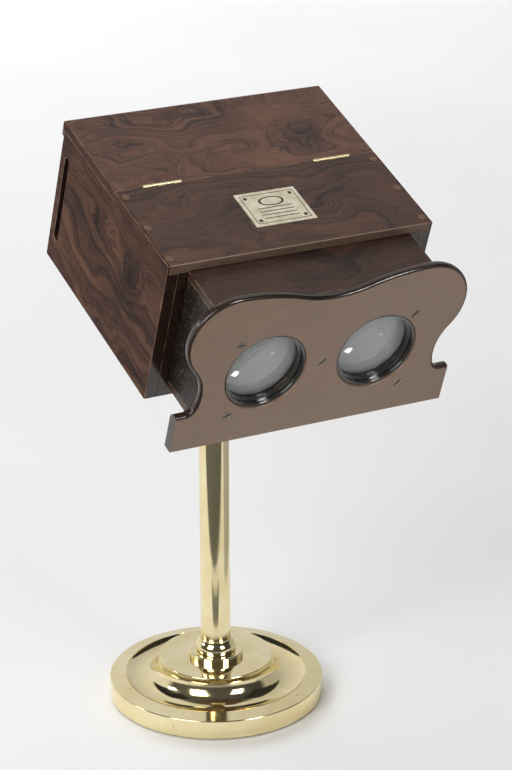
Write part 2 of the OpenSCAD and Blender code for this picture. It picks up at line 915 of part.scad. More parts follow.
module lid_board() {
    round_y = lid_back - lid_round_r;
    round_z = case_h - lid_round_r;
    color(wood_dark)
        in_box()
            difference() {
                lid_slab(lid_z, case_h);
                difference() {
                    board([-case_w, round_y, round_z], [case_w, lid_back + over, case_h + over]);
                    translate([0, round_y, round_z]) rod_x(lid_round_r, -case_w - over, case_w + over);
                }
                board([-mirror_x, lid_front + mirror_end, lid_z - over],
                      [mirror_x, case_d - mirror_end, lid_z + mirror_t]);
                hinge_recesses(1);
            }
}

// Strip below the overhang, for the fingers
module lid_strip() {
    color(wood_dark)
        in_box()
            intersection() {
                lid_slab(lid_z - lid_strip_h, lid_z);
                board([-case_w, case_d + slide_gap, lid_z - lid_strip_h], [case_w, lid_back + over, lid_z]);
            }
}

module lid_reflector() {
    color(silvered)
        in_box()
            board([-mirror_x + fit_gap, lid_front + mirror_end + fit_gap, lid_z],
                  [mirror_x - fit_gap, case_d - mirror_end - fit_gap, lid_z + mirror_t]);
}

// One leaf with its share of the knuckles: facing -1 on the front top, 1 on the lid
module leaf(side, facing) {
    pitch = hinge_l / knuckles;
    own = facing == 1 ? 1 : 0;
    color(brass)
        in_box()
            translate([side * hinge_x, seam_y, 0])
                difference() {
                    union() {
                        mirror([0, facing == 1 ? 0 : 1, 0])
                            board([-hinge_l / 2, seam_gap / 2, case_h - leaf_h],
                                  [hinge_l / 2, seam_gap / 2 + leaf_t, hinge_z]);
                        for (i = [own : 2 : knuckles - 1])
                            translate([-hinge_l / 2 + i * pitch, 0, hinge_z])
                                rod_x(knuckle_r, 0, pitch);
                    }
                    for (i = [1 - own : 2 : knuckles - 1])
                        translate([-hinge_l / 2 + i * pitch, 0, hinge_z])
                            rod_x(knuckle_r + slide_gap, i == 0 ? -over : -rest_gap,
                                  pitch + (i == knuckles - 1 ? over : rest_gap));
                    translate([0, 0, hinge_z]) rod_x(hinge_pin_d / 2 + run_gap, -hinge_l, hinge_l);
                    mirror([0, facing == 1 ? 0 : 1, 0])
                        hinge_screw_places() screw_hole(hinge_screw_head_d, hinge_screw_d, hinge_screw_l);
                }
}

module hinge_leaf_left() leaf(LEFT, -1);
module hinge_leaf_right() leaf(RIGHT, -1);
module lid_leaf_left() leaf(LEFT, 1);
module lid_leaf_right() leaf(RIGHT, 1);

module hinge_pin(side) {
    color(brass)
        in_box()
            translate([side * hinge_x, seam_y, hinge_z])
                rod_x(hinge_pin_d / 2, -hinge_l / 2, hinge_l / 2);
}

module hinge_pin_left() hinge_pin(LEFT);
module hinge_pin_right() hinge_pin(RIGHT);

// Screws of both hinges in one board
module leaf_screws(facing) {
    color(brass)
        in_box()
            for (side = SIDES)
                translate([side * hinge_x, seam_y, 0])
                    mirror([0, facing == 1 ? 0 : 1, 0])
                        hinge_screw_places()
                            slotted_screw(hinge_screw_head_d, hinge_screw_d, hinge_screw_l);
}

module hinge_screws() leaf_screws(-1);
module lid_screws() leaf_screws(1);

// Hood

// Half of the lens board's outline, from the waist down to the shoulder
module waist_outline() {
    difference() {
        translate([0, shoulder_z]) square([neck_pt[0], neck_pt[1] - shoulder_z]);
        intersection() {
            translate([waist_x, waist_z]) circle(r = waist_r);
            translate([0, fillet_end_z]) square([2 * waist_x, waist_r + waist_z]);
        }
        translate([fillet_x, fillet_z]) circle(r = waist_fillet_r);
        translate([fillet_x, shoulder_z]) square([waist_r, fillet_end_z - shoulder_z]);
    }
}

// Outline of the lens board: shouldered foot, waist, round ears and the dip between them
module board_outline() {
    translate([-board_w / 2, -board_drop]) square([board_w, shoulder_z + board_drop]);
    translate([-lobe_x, shoulder_z]) square([2 * lobe_x, lobe_z - shoulder_z]);
    for (side = SIDES)
        mirror([side == LEFT ? 1 : 0, 0]) {
            waist_outline();
            translate([lobe_x, lobe_z]) circle(r = lobe_r);
            intersection() {
                translate([lobe_x, crown_z - crest_r]) circle(r = crest_r);
                translate([crest_x, lobe_z]) square([lobe_x - crest_x, lobe_r]);
            }
        }
    difference() {
        translate([-crest_x, lobe_z]) square([2 * crest_x, lobe_r]);
        translate([0, crown_z - dip + dip_r]) circle(r = dip_r);
    }
}

module eye_places() {
    for (side = SIDES)
        translate([side * eye_x, 0, lens_z])
            children();
}

module board_screw_places() {
    for (p = board_screws)
        translate([p[0], board_face, p[1]])
            rotate([90, 0, 0])
                children();
}

module lens_board() {
    color(wood_board)
        in_box()
            difference() {
                translate([0, board_back, 0]) rotate([90, 0, 0]) linear_extrude(board_t) board_outline();
                eye_places() rod_y(eye_r, board_face - over, board_back + over);
                board_screw_places() screw_hole(screw_head_d, screw_d, board_screw_l);
            }
}

module hood_top_board() {
    color(wood_hood)
        in_box()
            board([-hood_w, board_back, hood_in_top], [hood_w, hood_back, hood_top]);
}

module hood_bottom_board() {
    color(wood_hood)
        in_box()
            board([-hood_w, board_back, hood_low], [hood_w, hood_back, hood_in_low]);
}

module hood_side(side) {
    color(wood_hood)
        in_box()
            mirror([side == LEFT ? 1 : 0, 0, 0])
                board([hood_in_x, board_back, hood_in_low], [hood_w, hood_back, hood_in_top]);
}

module hood_side_left() hood_side(LEFT);
module hood_side_right() hood_side(RIGHT);

module septum() {
    color(wood_hood)
        in_box()
            board([-septum_t / 2, carrier_back, hood_in_low], [septum_t / 2, hood_back, hood_in_top]);
}

// Board behind the lens board that carries both lenses
module lens_carrier() {
    color(wood_hood)
        in_box()
            difference() {
                board([-hood_in_x + fit_gap, board_back, hood_in_low + fit_gap],
                      [hood_in_x - fit_gap, carrier_back, hood_in_top - fit_gap]);
                eye_places() {
                    rod_y(aperture_r, board_back - over, carrier_back);
                    rod_y(lens_r + fit_gap, board_back + carrier_lip, carrier_back + over);
                }
                board_screw_places() screw_hole(screw_head_d, screw_d, board_screw_l);
            }
}

// Turned rim in the board's hole, rounded in front and stepped in to the lens's opening
module lens_rim(side) {
    outer = eye_r - fit_gap;
    round_r = rim_w / 2;
    color(black)
        in_box()
            translate([side * eye_x, board_face, lens_z])
                rotate([-90, 0, 0])
                    rotate_extrude()
                        union() {
                            translate([outer - round_r, rim_set + round_r]) circle(r = round_r);
                            translate([outer - rim_w, rim_set + round_r])
                                square([rim_w, board_t - rim_set - round_r]);
                            translate([aperture_r, rim_step])
                                square([outer - aperture_r, board_t - rim_step]);
                        }
}

module lens_rim_left() lens_rim(LEFT);
module lens_rim_right() lens_rim(RIGHT);

module lens(side) {
    color(glass)
        in_box()
            translate([side * eye_x, lens_front, lens_z])
                rotate([-90, 0, 0])
                    rotate_extrude()
                        intersection() {
                            translate([0, -lens_sag]) square([lens_r, lens_edge + 2 * lens_sag]);
                            translate([0, lens_roc - lens_sag]) circle(r = lens_roc, $fn = lens_fn);
                            translate([0, lens_edge + lens_sag - lens_roc])
                                circle(r = lens_roc, $fn = lens_fn);
                        }
}

module lens_left() lens(LEFT);
module lens_right() lens(RIGHT);

module lens_ring(side) {
    color(black)
        in_box()
            translate([side * eye_x, lens_ring_y, lens_z])
                difference() {
                    rod_y(lens_r, 0, lens_ring_t);
                    rod_y(aperture_r, -over, lens_ring_t + over);
                }
}

module lens_ring_left() lens_ring(LEFT);
module lens_ring_right() lens_ring(RIGHT);

module board_screw_set() {
    color(steel)
        in_box()
            board_screw_places() slotted_screw(screw_head_d, screw_d, board_screw_l);
}

foot();
foot_baize();
base_nut();
knop();
pillar_tube();
pillar_collar();
collar_screw();
stem();
fork_screw();
swivel_fork();
tilt_pin();
tilt_knob();
tilt_bracket();
bracket_screws();
bottom_board();
side_board_left();
side_board_right();
front_top();
guide_left();
guide_right();
back_stile_left();
back_stile_right();
back_rail_low();
back_rail_top();
ground_glass();
glazing_bead_left();
glazing_bead_right();
glazing_bead_low();
glazing_bead_top();
card_guide_left();
card_guide_right();
top_plugs();
label_plate();
hinge_leaf_left();
hinge_leaf_right();
hinge_pin_left();
hinge_pin_right();
hinge_screws();
lid_board();
lid_strip();
lid_reflector();
lid_leaf_left();
lid_leaf_right();
lid_screws();
lens_board();
hood_top_board();
hood_bottom_board();
hood_side_left();
hood_side_right();
septum();
lens_carrier();
lens_rim_left();
lens_rim_right();
lens_left();
lens_right();
lens_ring_left();
lens_ring_right();
board_screw_set();
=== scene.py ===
import json
import math

import bpy
from mathutils import Matrix, Vector

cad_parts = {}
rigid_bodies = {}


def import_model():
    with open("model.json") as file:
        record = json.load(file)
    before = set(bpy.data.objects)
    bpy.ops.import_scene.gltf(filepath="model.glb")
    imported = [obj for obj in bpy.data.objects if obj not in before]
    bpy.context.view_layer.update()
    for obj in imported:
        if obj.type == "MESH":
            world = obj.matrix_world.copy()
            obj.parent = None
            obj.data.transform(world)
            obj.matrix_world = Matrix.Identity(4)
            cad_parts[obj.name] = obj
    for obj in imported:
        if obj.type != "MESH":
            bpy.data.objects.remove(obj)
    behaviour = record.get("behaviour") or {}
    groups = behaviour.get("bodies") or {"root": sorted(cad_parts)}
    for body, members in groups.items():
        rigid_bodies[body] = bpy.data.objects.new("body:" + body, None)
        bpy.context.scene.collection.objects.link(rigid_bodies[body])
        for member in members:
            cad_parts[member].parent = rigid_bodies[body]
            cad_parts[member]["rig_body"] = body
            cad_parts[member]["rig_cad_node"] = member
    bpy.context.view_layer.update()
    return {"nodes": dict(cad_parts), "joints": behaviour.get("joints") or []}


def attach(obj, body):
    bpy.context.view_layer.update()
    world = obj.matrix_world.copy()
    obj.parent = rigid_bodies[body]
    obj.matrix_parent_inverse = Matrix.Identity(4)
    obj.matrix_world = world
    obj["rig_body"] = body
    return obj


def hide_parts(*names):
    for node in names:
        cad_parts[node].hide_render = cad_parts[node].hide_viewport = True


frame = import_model()


# Foot: the heavy round base of the stand, cast in brass and turned on a lathe, with a hollow moulding
# between its outer ring and the raised plinth. It is polished all over, and hollow underneath.
MM = 0.001


def arc(centre, radius, start, end, steps):
    """Points of an arc in a turning profile, in millimetres, between two angles in degrees."""
    angles = [math.radians(start + (end - start) * i / steps) for i in range(steps + 1)]
    return [(centre[0] + radius * math.cos(a), centre[1] + radius * math.sin(a)) for a in angles]


def eased_line(corners):
    """A turning profile in millimetres, with each corner rounded over the length in its third number."""
    line = []
    for i, corner in enumerate(corners):
        here = Vector(corner[:2])
        if len(corner) < 3:
            line.append(here)
            continue
        before = Vector(corners[i - 1][:2]) - here
        after = Vector(corners[(i + 1) % len(corners)][:2]) - here
        for k in (0, 0.2, 0.4, 0.6, 0.8, 1):
            line.append(here + corner[2] * ((1 - k) ** 2 * before.normalized() + k ** 2 * after.normalized()))
    return line


def level_flats(piece):
    """Smooths a piece's rounded arrises and takes the shading of its flats from the flats alone."""
    bpy.ops.object.shade_smooth_by_angle(angle=math.radians(40))
    level = piece.modifiers.new("flats", "WEIGHTED_NORMAL")
    level.keep_sharp = True
    level.weight = 100
    bpy.ops.object.modifier_apply(modifier=level.name)


def turned(name, line, finish, steps=144):
    """A piece turned about Z from a closed profile of radius and height in millimetres."""
    bpy.ops.object.select_all(action="DESELECT")
    bpy.ops.mesh.primitive_plane_add(size=MM)
    piece = bpy.context.object
    piece.name = name
    piece.data.materials.append(finish)
    bpy.ops.object.mode_set(mode="EDIT")
    bpy.ops.mesh.select_mode(type="VERT")
    bpy.ops.mesh.select_all(action="SELECT")
    bpy.ops.mesh.merge(type="CENTER")
    start = Vector(line[0]) * MM
    bpy.ops.transform.translate(value=(start.x, 0, start.y))
    for here, there in zip(line, [*line[1:], line[0]]):
        step = (Vector(there) - Vector(here)) * MM
        bpy.ops.mesh.extrude_vertices_move(TRANSFORM_OT_translate={"value": (step.x, 0, step.y)})
    bpy.ops.mesh.select_all(action="SELECT")
    bpy.ops.mesh.spin(steps=steps, angle=math.tau, center=(0, 0, 0), axis=(0, 0, 1))
    bpy.ops.mesh.select_all(action="SELECT")
    bpy.ops.mesh.remove_doubles(threshold=1e-6)
    bpy.ops.mesh.delete_loose()
    bpy.ops.mesh.select_all(action="SELECT")
    bpy.ops.mesh.normals_make_consistent(inside=False)
    bpy.ops.object.mode_set(mode="OBJECT")
    level_flats(piece)
    return piece


def linear(code):
    """The linear colour of an sRGB hex code."""
    parts = [int(code[i:i + 2], 16) / 255 for i in (0, 2, 4)]
    return (*[c / 12.92 if c <= 0.04045 else ((c + 0.055) / 1.055) ** 2.4 for c in parts], 1)


def add_node(tree, kind, inputs, stops=(), **settings):
    """Adds a node. Inputs are values or other nodes' sockets, by name or number, and stops colour a ramp."""
    node = tree.nodes.new(kind)
    for name, value in settings.items():
        setattr(node, name, value)
    for socket, value in inputs.items():
        if isinstance(value, bpy.types.NodeSocket):
            tree.links.new(value, node.inputs[socket])
        else:
            node.inputs[socket].default_value = value
    for i, (place, colour) in enumerate(stops):
        stop = node.color_ramp.elements[i] if i < 2 else node.color_ramp.elements.new(place)
        stop.position = place
        stop.color = colour
    return node


def start_material(name):
    """A new material with its node tree, its shader and its object's own coordinates in metres."""
    material = bpy.data.materials.new(name)
    material.use_nodes = True
    tree = material.node_tree
    place = add_node(tree, "ShaderNodeTexCoord", {})
    return material, tree, tree.nodes["Principled BSDF"], place.outputs["Object"]


def polished_brass(name, dull):
    """Polished brass: a pale yellow mirror with faint polishing ripples, dull patches and small dark pits."""
    material, tree, shader, place = start_material(name)
    shader.inputs["Metallic"].default_value = 1
    mm = add_node(tree, "ShaderNodeMapping", {"Vector": place, "Scale": (1000, 1000, 1000)})
    # Dull patches about 25 mm across
    patches = add_node(tree, "ShaderNodeTexNoise", {"Vector": mm.outputs[0], "Scale": 0.04, "Detail": 5})
    tint = add_node(tree, "ShaderNodeValToRGB", {"Fac": patches.outputs[0]},
                    [(0.35, linear("FAEDC2")), (0.65, linear("F1E0AE"))])
    # Pits and spots of tarnish, drawn about 1.3 mm wide so that they show
    cells = add_node(tree, "ShaderNodeTexVoronoi", {"Vector": mm.outputs[0], "Scale": 0.075})
    pits = add_node(tree, "ShaderNodeMapRange",
                    {"Value": cells.outputs["Distance"], "From Min": 0.035, "From Max": 0.06,
                     "To Min": 0.45, "To Max": 1})
    colour = add_node(tree, "ShaderNodeMix", {0: 1.0, 6: tint.outputs[0], 7: pits.outputs[0]},
                      data_type="RGBA", blend_type="MULTIPLY")
    tree.links.new(colour.outputs[2], shader.inputs["Base Color"])
    rough = add_node(tree, "ShaderNodeMapRange",
                     {"Value": patches.outputs[0], "From Min": 0.35, "From Max": 0.7,
                      "To Min": dull, "To Max": dull * 2})
    tree.links.new(rough.outputs[0], shader.inputs["Roughness"])
    # Ripples left by the polishing cloth, about 8 mm apart
    ripples = add_node(tree, "ShaderNodeTexNoise", {"Vector": mm.outputs[0], "Scale": 0.12, "Detail": 1})
    bump = add_node(tree, "ShaderNodeBump",
                    {"Height": ripples.outputs[0], "Strength": 0.25, "Distance": 0.0001})
    tree.links.new(bump.outputs[0], shader.inputs["Normal"])
    return material


def fit(piece, body, slot, *nodes):
    """Lets a piece ride on its body and stand for its CAD nodes, which it hides. The slot is not used."""
    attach(piece, body)
    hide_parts(*nodes)


stand_brass = polished_brass("polished_brass", 0.07)
# From the knop's hole over the plinth, the hollow, a thin groove and the outer ring, and back underneath
plinth = [(8.05, 29.5), (40.3, 29.5, 0.9), (40.3, 25.5, 0.3), (41.0, 25.5)]
hollow = arc((54.53, 26.28), 13.56, 183.3, 312, 32)
ring = [(63.7, 15.6), (64.2, 15.6), (64.2, 16.5, 0.35), (75.5, 14.5, 0.7), (75.5, 1.0, 0.8), (66, 1.0)]
underside = [*arc((55.958, 30.271), 20.7, 299, 196.2, 16), (8.05, 24.5)]
foot = turned("foot_turned", [*eased_line(plinth), *hollow, *eased_line(ring), *underside], stand_brass)
fit(foot, "stand", "polished_brass", "foot")
frame["nodes"]["base_nut"].data.materials[0] = stand_brass


# Baize: a disc of woollen cloth glued under the foot, so that it doesn't scratch the table.
# Only its cut edge shows, dark green and without gloss.
def woollen_baize():
    """Woollen baize: matt dark green, with a short nap that scatters light."""
    material, tree, shader, place = start_material("woollen_baize")
    # Nap about 0.7 mm across
    nap = add_node(tree, "ShaderNodeTexNoise", {"Vector": place, "Scale": 1400, "Detail": 3})
    tint = add_node(tree, "ShaderNodeValToRGB", {"Fac": nap.outputs[0]},
                    [(0.3, linear("24301F")), (0.7, linear("46573E"))])
    bump = add_node(tree, "ShaderNodeBump", {"Height": nap.outputs[0], "Strength": 0.6, "Distance": 0.0003})
    tree.links.new(tint.outputs[0], shader.inputs["Base Color"])
    tree.links.new(bump.outputs[0], shader.inputs["Normal"])
    shader.inputs["Roughness"].default_value = 0.95
    shader.inputs["Sheen Weight"].default_value = 0.3
    return material


frame["nodes"]["foot_baize"].data.materials[0] = woollen_baize()


# Knop: the turned brass moulding at the pillar's foot, a flat flange under a full bead and a thin lip.
# Its spigot goes down through the foot and takes the nut.
flange = [(0, 15.5), (8, 15.5, 0.5), (8, 29.5), (19.6, 29.5, 0.2), (19.6, 33.6, 1.5), (14.0, 33.6)]
bead = arc((5.4, 35.4), 9.0, -11, 49, 18)
lip = [(11.5, 42.5, 0.1), (11.5, 43.6, 0.3), (10.55, 43.6), (10.55, 38.0), (0, 38.0)]
knop = turned("knop_turned", [*eased_line(flange), *bead, *eased_line(lip)], stand_brass)
fit(knop, "stand", "polished_brass", "knop")


# Pillar: a drawn brass tube that stands in the knop's socket, polished along its length.
# The stem slides inside it, and the collar closes its top.
tube = [(10.5, 38.0), (10.5, 80), (10.5, 120), (10.5, 160), (10.5, 208.0, 0.2), (8.55, 208.0), (8.55, 38.0)]
pillar = turned("pillar_drawn_tube", eased_line(tube), stand_brass)
fit(pillar, "stand", "polished_brass", "pillar_tube")


# Collar and its thumb screw: a turned brass sleeve on top of the pillar, with a boss on its right-hand side.
# The fluted screw in the boss presses on the stem and holds it at its height.
def eased_copy(node, width, finish, wear_and_highlight=None, segments=3, sharp=40):
    """A copy of a CAD node with its doubles merged and its arrises rubbed round over that many millimetres.
    A paler finish, partly worn wood and partly painted highlight, goes on the arrises alone."""
    bpy.ops.object.select_all(action="DESELECT")
    source = frame["nodes"][node]
    source.select_set(True)
    bpy.context.view_layer.objects.active = source
    bpy.ops.object.duplicate()
    piece = bpy.context.object
    piece.name = node + "_eased"
    bpy.ops.object.parent_clear(type="CLEAR")
    del piece["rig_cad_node"]
    del piece["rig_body"]
    piece.data.materials.clear()
    piece.data.materials.append(finish)
    bpy.ops.mesh.customdata_custom_splitnormals_clear()
    bpy.ops.object.mode_set(mode="EDIT")
    bpy.ops.mesh.select_all(action="SELECT")
    bpy.ops.mesh.remove_doubles(threshold=1e-6)
    bpy.ops.mesh.dissolve_limited(angle_limit=math.radians(0.3))
    bpy.ops.object.mode_set(mode="OBJECT")
    if width:
        bevel = piece.modifiers.new("arris", "BEVEL")
        bevel.width = width * MM
        bevel.segments = segments
        bevel.limit_method = "ANGLE"
        bevel.angle_limit = math.radians(sharp)
        bevel.use_clamp_overlap = False
        if wear_and_highlight:
            piece.data.materials.append(wear_and_highlight)
            bevel.material = 1
        bpy.ops.object.modifier_apply(modifier=bevel.name)
        level_flats(piece)
    return piece


fit(eased_copy("pillar_collar", 0.5, stand_brass), "stand", "polished_brass", "pillar_collar")
collar_screw = eased_copy("collar_screw", 0.15, stand_brass, segments=2, sharp=50)
fit(collar_screw, "collar_screw", "polished_brass", "collar_screw")


# Stem: the brass rod that slides in the pillar, with a shoulder and a spigot on which the fork turns.
# A steel screw with a cheese head holds the fork down.
fit(eased_copy("stem", 0.2, stand_brass), "stem", "polished_brass", "stem")


def bright_steel():
    """Bright steel: a grey half-mirror with fine scratches."""
    material, tree, shader, place = start_material("bright_steel")
    shader.inputs["Metallic"].default_value = 1
    # Scratches about 0.5 mm apart
    scratches = add_node(tree, "ShaderNodeTexNoise", {"Vector": place, "Scale": 2000, "Detail": 4})
    tint = add_node(tree, "ShaderNodeValToRGB", {"Fac": scratches.outputs[0]},
                    [(0.3, linear("8A8782")), (0.7, linear("B5B2AC"))])
    rough = add_node(tree, "ShaderNodeMapRange",
                     {"Value": scratches.outputs[0], "To Min": 0.2, "To Max": 0.45})
    tree.links.new(tint.outputs[0], shader.inputs["Base Color"])
    tree.links.new(rough.outputs[0], shader.inputs["Roughness"])
    return material


screw_steel = bright_steel()
fit(eased_copy("fork_screw", 0.2, screw_steel, segments=2, sharp=50), "stem", "steel", "fork_screw")


# Fork, pin and knob: the brass fork turns on the stem, and the steel pin through its ears carries the box.
# The fluted brass knob on the pin's end is screwed up to hold the tilt.
fit(eased_copy("swivel_fork", 0.5, stand_brass), "fork", "polished_brass", "swivel_fork")
fit(eased_copy("tilt_pin", 0.3, screw_steel, segments=2, sharp=50), "fork", "steel", "tilt_pin")
tilt_knob = eased_copy("tilt_knob", 0.2, stand_brass, segments=2, sharp=50)
fit(tilt_knob, "tilt_knob", "polished_brass", "tilt_knob")


# Bracket: the turned brass flange, neck and flat tongue under the box, cast in one piece.
# Four countersunk steel screws hold it to the bottom board.
fit(eased_copy("tilt_bracket", 0.4, stand_brass), "box", "polished_brass", "tilt_bracket")
frame["nodes"]["bracket_screws"].data.materials[0] = screw_steel


# Box: rosewood boards glued and nailed together, veneered, stained dark and French polished.
# The top is fixed at the front, and two guides inside the mouth carry the sliding hood.
joints = {joint["name"]: joint for joint in frame["joints"]}
slide = joints["focus_slide"]["axis"]
tilt = math.atan2(-slide[2], -slide[1])
# The tilt pin lies this far behind the box's front edge and under its bottom, in millimetres
pin_behind = 78.8
pin_below = 40.5
box_place = Matrix.Translation(joints["tilt"]["pos_m"]) @ Matrix.Rotation(tilt, 4, "X")
box_place = box_place @ Matrix.Translation((0, -pin_behind * MM, pin_below * MM))
box_shift = box_place.inverted().translation / MM
# How a pattern that runs along X is turned to run along each way of the box
turns = {"x": (0, 0, 0), "y": (0, 0, -math.pi / 2), "z": (0, math.pi / 2, 0)}


def rosewood(name, along, heart, tones, swirl, band, knot, dull, gloss=0.5, pale_wear_and_highlight=0.0, pore=0.6):
    """French-polished rosewood: brown bands round the tree's heart, each closed by a thin dark line, which
    swirl where the veneer cuts across them and loop round a dark knot, with short pores and a thin gloss.
    Heart, knot, swirl and the bands' width are in millimetres. The pale share is how much of the surface is
    made paler, partly wood worn bare and partly painted highlight on the arrises that take it, and pore is
    how dark the pores are, down from 1."""
    material, tree, shader, place = start_material(name)
    box = add_node(tree, "ShaderNodeMapping",
                   {"Vector": place, "Location": box_shift, "Rotation": (-tilt, 0, 0),
                    "Scale": (1000, 1000, 1000)})
    log = add_node(tree, "ShaderNodeMapping",
                   {"Vector": box.outputs[0], "Location": heart, "Rotation": turns[along]})
    # The grain wanders over about 80 mm along the board and 45 mm across it
    slow = add_node(tree, "ShaderNodeMapping", {"Vector": log.outputs[0], "Scale": (0.0125, 0.022, 0.022)})
    drift = add_node(tree, "ShaderNodeTexNoise", {"Vector": slow.outputs[0], "Scale": 1.0, "Detail": 2.0})
    bent = add_node(tree, "ShaderNodeVectorMath",
                    {0: drift.outputs["Color"], 1: (0, swirl, swirl), 2: log.outputs[0]},
                    operation="MULTIPLY_ADD")
    across = add_node(tree, "ShaderNodeVectorMath", {0: bent.outputs[0], 1: (0, 1, 1)}, operation="MULTIPLY")
    ring = add_node(tree, "ShaderNodeVectorMath", {0: across.outputs[0]}, operation="LENGTH")
    # The knot pushes the rings aside over about 25 mm
    stray = add_node(tree, "ShaderNodeVectorMath",
                     {0: drift.outputs["Color"], 1: (30, 30, 30), 2: box.outputs[0]},
                     operation="MULTIPLY_ADD")
    away = add_node(tree, "ShaderNodeVectorMath",
                    {0: stray.outputs[0], 1: Vector(knot) + Vector((15, 15, 15))},
                    operation="DISTANCE")
    push = add_node(tree, "ShaderNodeMapRange",
                    {"Value": away.outputs["Value"], "From Min": 0, "From Max": 26,
                     "To Min": 14, "To Max": 0},
                    interpolation_type="SMOOTHSTEP")
    field = add_node(tree, "ShaderNodeMath", {0: ring.outputs["Value"], 1: push.outputs[0]}, operation="ADD")
    rings = add_node(tree, "ShaderNodeTexNoise",
                     {"W": field.outputs[0], "Scale": 1 / band, "Detail": 3, "Roughness": 0.6},
                     noise_dimensions="1D")
    # Paler and darker areas about 40 mm across, and wider ones where the figure fades
    cloud = add_node(tree, "ShaderNodeTexNoise", {"Vector": log.outputs[0], "Scale": 0.025, "Detail": 2})
    fade = add_node(tree, "ShaderNodeMapRange",
                    {"Value": drift.outputs[0], "From Min": 0.36, "From Max": 0.56,
                     "To Min": 0.25, "To Max": 1})
    # Each band ends in a line about a tenth as wide as itself
    ends = add_node(tree, "ShaderNodeMath", {0: rings.outputs[0], 1: 0.5}, operation="SUBTRACT")
    reach = add_node(tree, "ShaderNodeMath", {0: ends.outputs[0]}, operation="ABSOLUTE")
    thin_lines = add_node(tree, "ShaderNodeMapRange",
                          {"Value": reach.outputs[0], "From Min": 0, "From Max": 0.05,
                           "To Min": -0.28, "To Max": 0})
    bands = add_node(tree, "ShaderNodeMath", {0: ends.outputs[0], 1: 0.55, 2: thin_lines.outputs[0]},
                     operation="MULTIPLY_ADD")
    drawn = add_node(tree, "ShaderNodeMath", {0: bands.outputs[0], 1: fade.outputs[0], 2: 0.275},
                     operation="MULTIPLY_ADD")
    # Streaks about 1 mm wide and 40 mm long
    thin = add_node(tree, "ShaderNodeMapping", {"Vector": bent.outputs[0], "Scale": (0.025, 1.0, 1.0)})
    streaks = add_node(tree, "ShaderNodeTexNoise", {"Vector": thin.outputs[0], "Scale": 1.0, "Detail": 4})
    tone = add_node(tree, "ShaderNodeMath", {0: streaks.outputs[0], 1: 0.8, 2: drawn.outputs[0]},
                    operation="MULTIPLY_ADD")
    shaded = add_node(tree, "ShaderNodeMath", {0: cloud.outputs[0], 1: 0.5, 2: tone.outputs[0]},
                      operation="MULTIPLY_ADD")
    dark_knot = add_node(tree, "ShaderNodeMath", {0: push.outputs[0], 1: -0.016, 2: shaded.outputs[0]},
                         operation="MULTIPLY_ADD")
    level = add_node(tree, "ShaderNodeMapRange",
                     {"Value": dark_knot.outputs[0], "From Min": 0.5, "From Max": 1.25})
    figure = add_node(tree, "ShaderNodeValToRGB", {"Fac": level.outputs[0]},
                      [(0.05, linear(tones[0])), (0.5, linear(tones[1])), (0.95, linear(tones[2]))])
    # Pores, drawn 0.6 mm wide and 8 mm long so that they show
    fine = add_node(tree, "ShaderNodeMapping", {"Vector": bent.outputs[0], "Scale": (0.12, 1.6, 1.6)})
    pores = add_node(tree, "ShaderNodeTexNoise", {"Vector": fine.outputs[0], "Scale": 1.0, "Detail": 1})
    open_pores = add_node(tree, "ShaderNodeMapRange",
                          {"Value": pores.outputs[0], "From Min": 0.56, "From Max": 0.7,
                           "To Min": 1, "To Max": pore})
    colour = add_node(tree, "ShaderNodeMix", {0: 1.0, 6: figure.outputs[0], 7: open_pores.outputs[0]},
                      data_type="RGBA", blend_type="MULTIPLY")
    # Paler places about 8 mm long, partly wood rubbed bare and partly painted highlight on the arrises that
    # take them
    wear_and_highlight_spots = add_node(tree, "ShaderNodeTexNoise", {"Vector": box.outputs[0], "Scale": 0.12, "Detail": 3})
    wear_and_highlight_share = add_node(tree, "ShaderNodeMapRange",
                    {"Value": wear_and_highlight_spots.outputs[0], "From Min": 0.8 - pale_wear_and_highlight, "From Max": 1.15 - pale_wear_and_highlight})
    wear_and_highlight = add_node(tree, "ShaderNodeMix", {0: wear_and_highlight_share.outputs[0], 6: colour.outputs[2], 7: linear("8E7058")},
                    data_type="RGBA")
    tree.links.new(wear_and_highlight.outputs[2], shader.inputs["Base Color"])
    rough = add_node(tree, "ShaderNodeMapRange",
                     {"Value": streaks.outputs[0], "From Min": 0.3, "From Max": 0.7,
                      "To Min": dull, "To Max": dull + 0.08})
    tree.links.new(rough.outputs[0], shader.inputs["Roughness"])
    bump = add_node(tree, "ShaderNodeBump",
                    {"Height": open_pores.outputs[0], "Strength": 0.25, "Distance": 0.00006})
    tree.links.new(bump.outputs[0], shader.inputs["Normal"])
    shader.inputs["Specular IOR Level"].default_value = gloss
    return material


def pick_edges(piece, wanted):
    """Selects the edges whose ends both pass a test, which gets them in millimetres in the box's frame."""
    back = box_place.inverted()
    points = [back @ v.co / MM for v in piece.data.vertices]
    for part in (piece.data.vertices, piece.data.edges, piece.data.polygons):
        part.foreach_set("select", [False] * len(part))
    for edge in piece.data.edges:
        edge.select = all(wanted(points[i]) for i in edge.vertices)


def round_picked(width, segments, finish=-1):
    """Rounds the selected edges over that many millimetres, and gives them the finish of that number."""
    bpy.ops.object.mode_set(mode="EDIT")
    bpy.ops.mesh.select_mode(type="EDGE")
    bpy.ops.mesh.bevel(offset=width * MM, segments=segments, affect="EDGES", clamp_overlap=False,
                       material=finish)
    bpy.ops.object.mode_set(mode="OBJECT")


def finish_faces(piece, finish, *ways):
    """Puts a finish on the flat faces of a piece that look in one of these ways of the box."""
    piece.data.materials.append(finish)
    for face in piece.data.polygons:
        if any(face.normal.dot(box_place.to_3x3() @ Vector(way)) > 0.95 for way in ways):
            face.material_index = len(piece.data.materials) - 1
    return piece


case_tones = ("120907", "4C3023", "64442F")
side_tones = ("080403", "442A1F", "6E4C37")
front_shade_tones = ("1A110D", "2C1E17", "38281F")
lit_front_face_tones = ("5E4A3C", "6E5747", "7A6251")
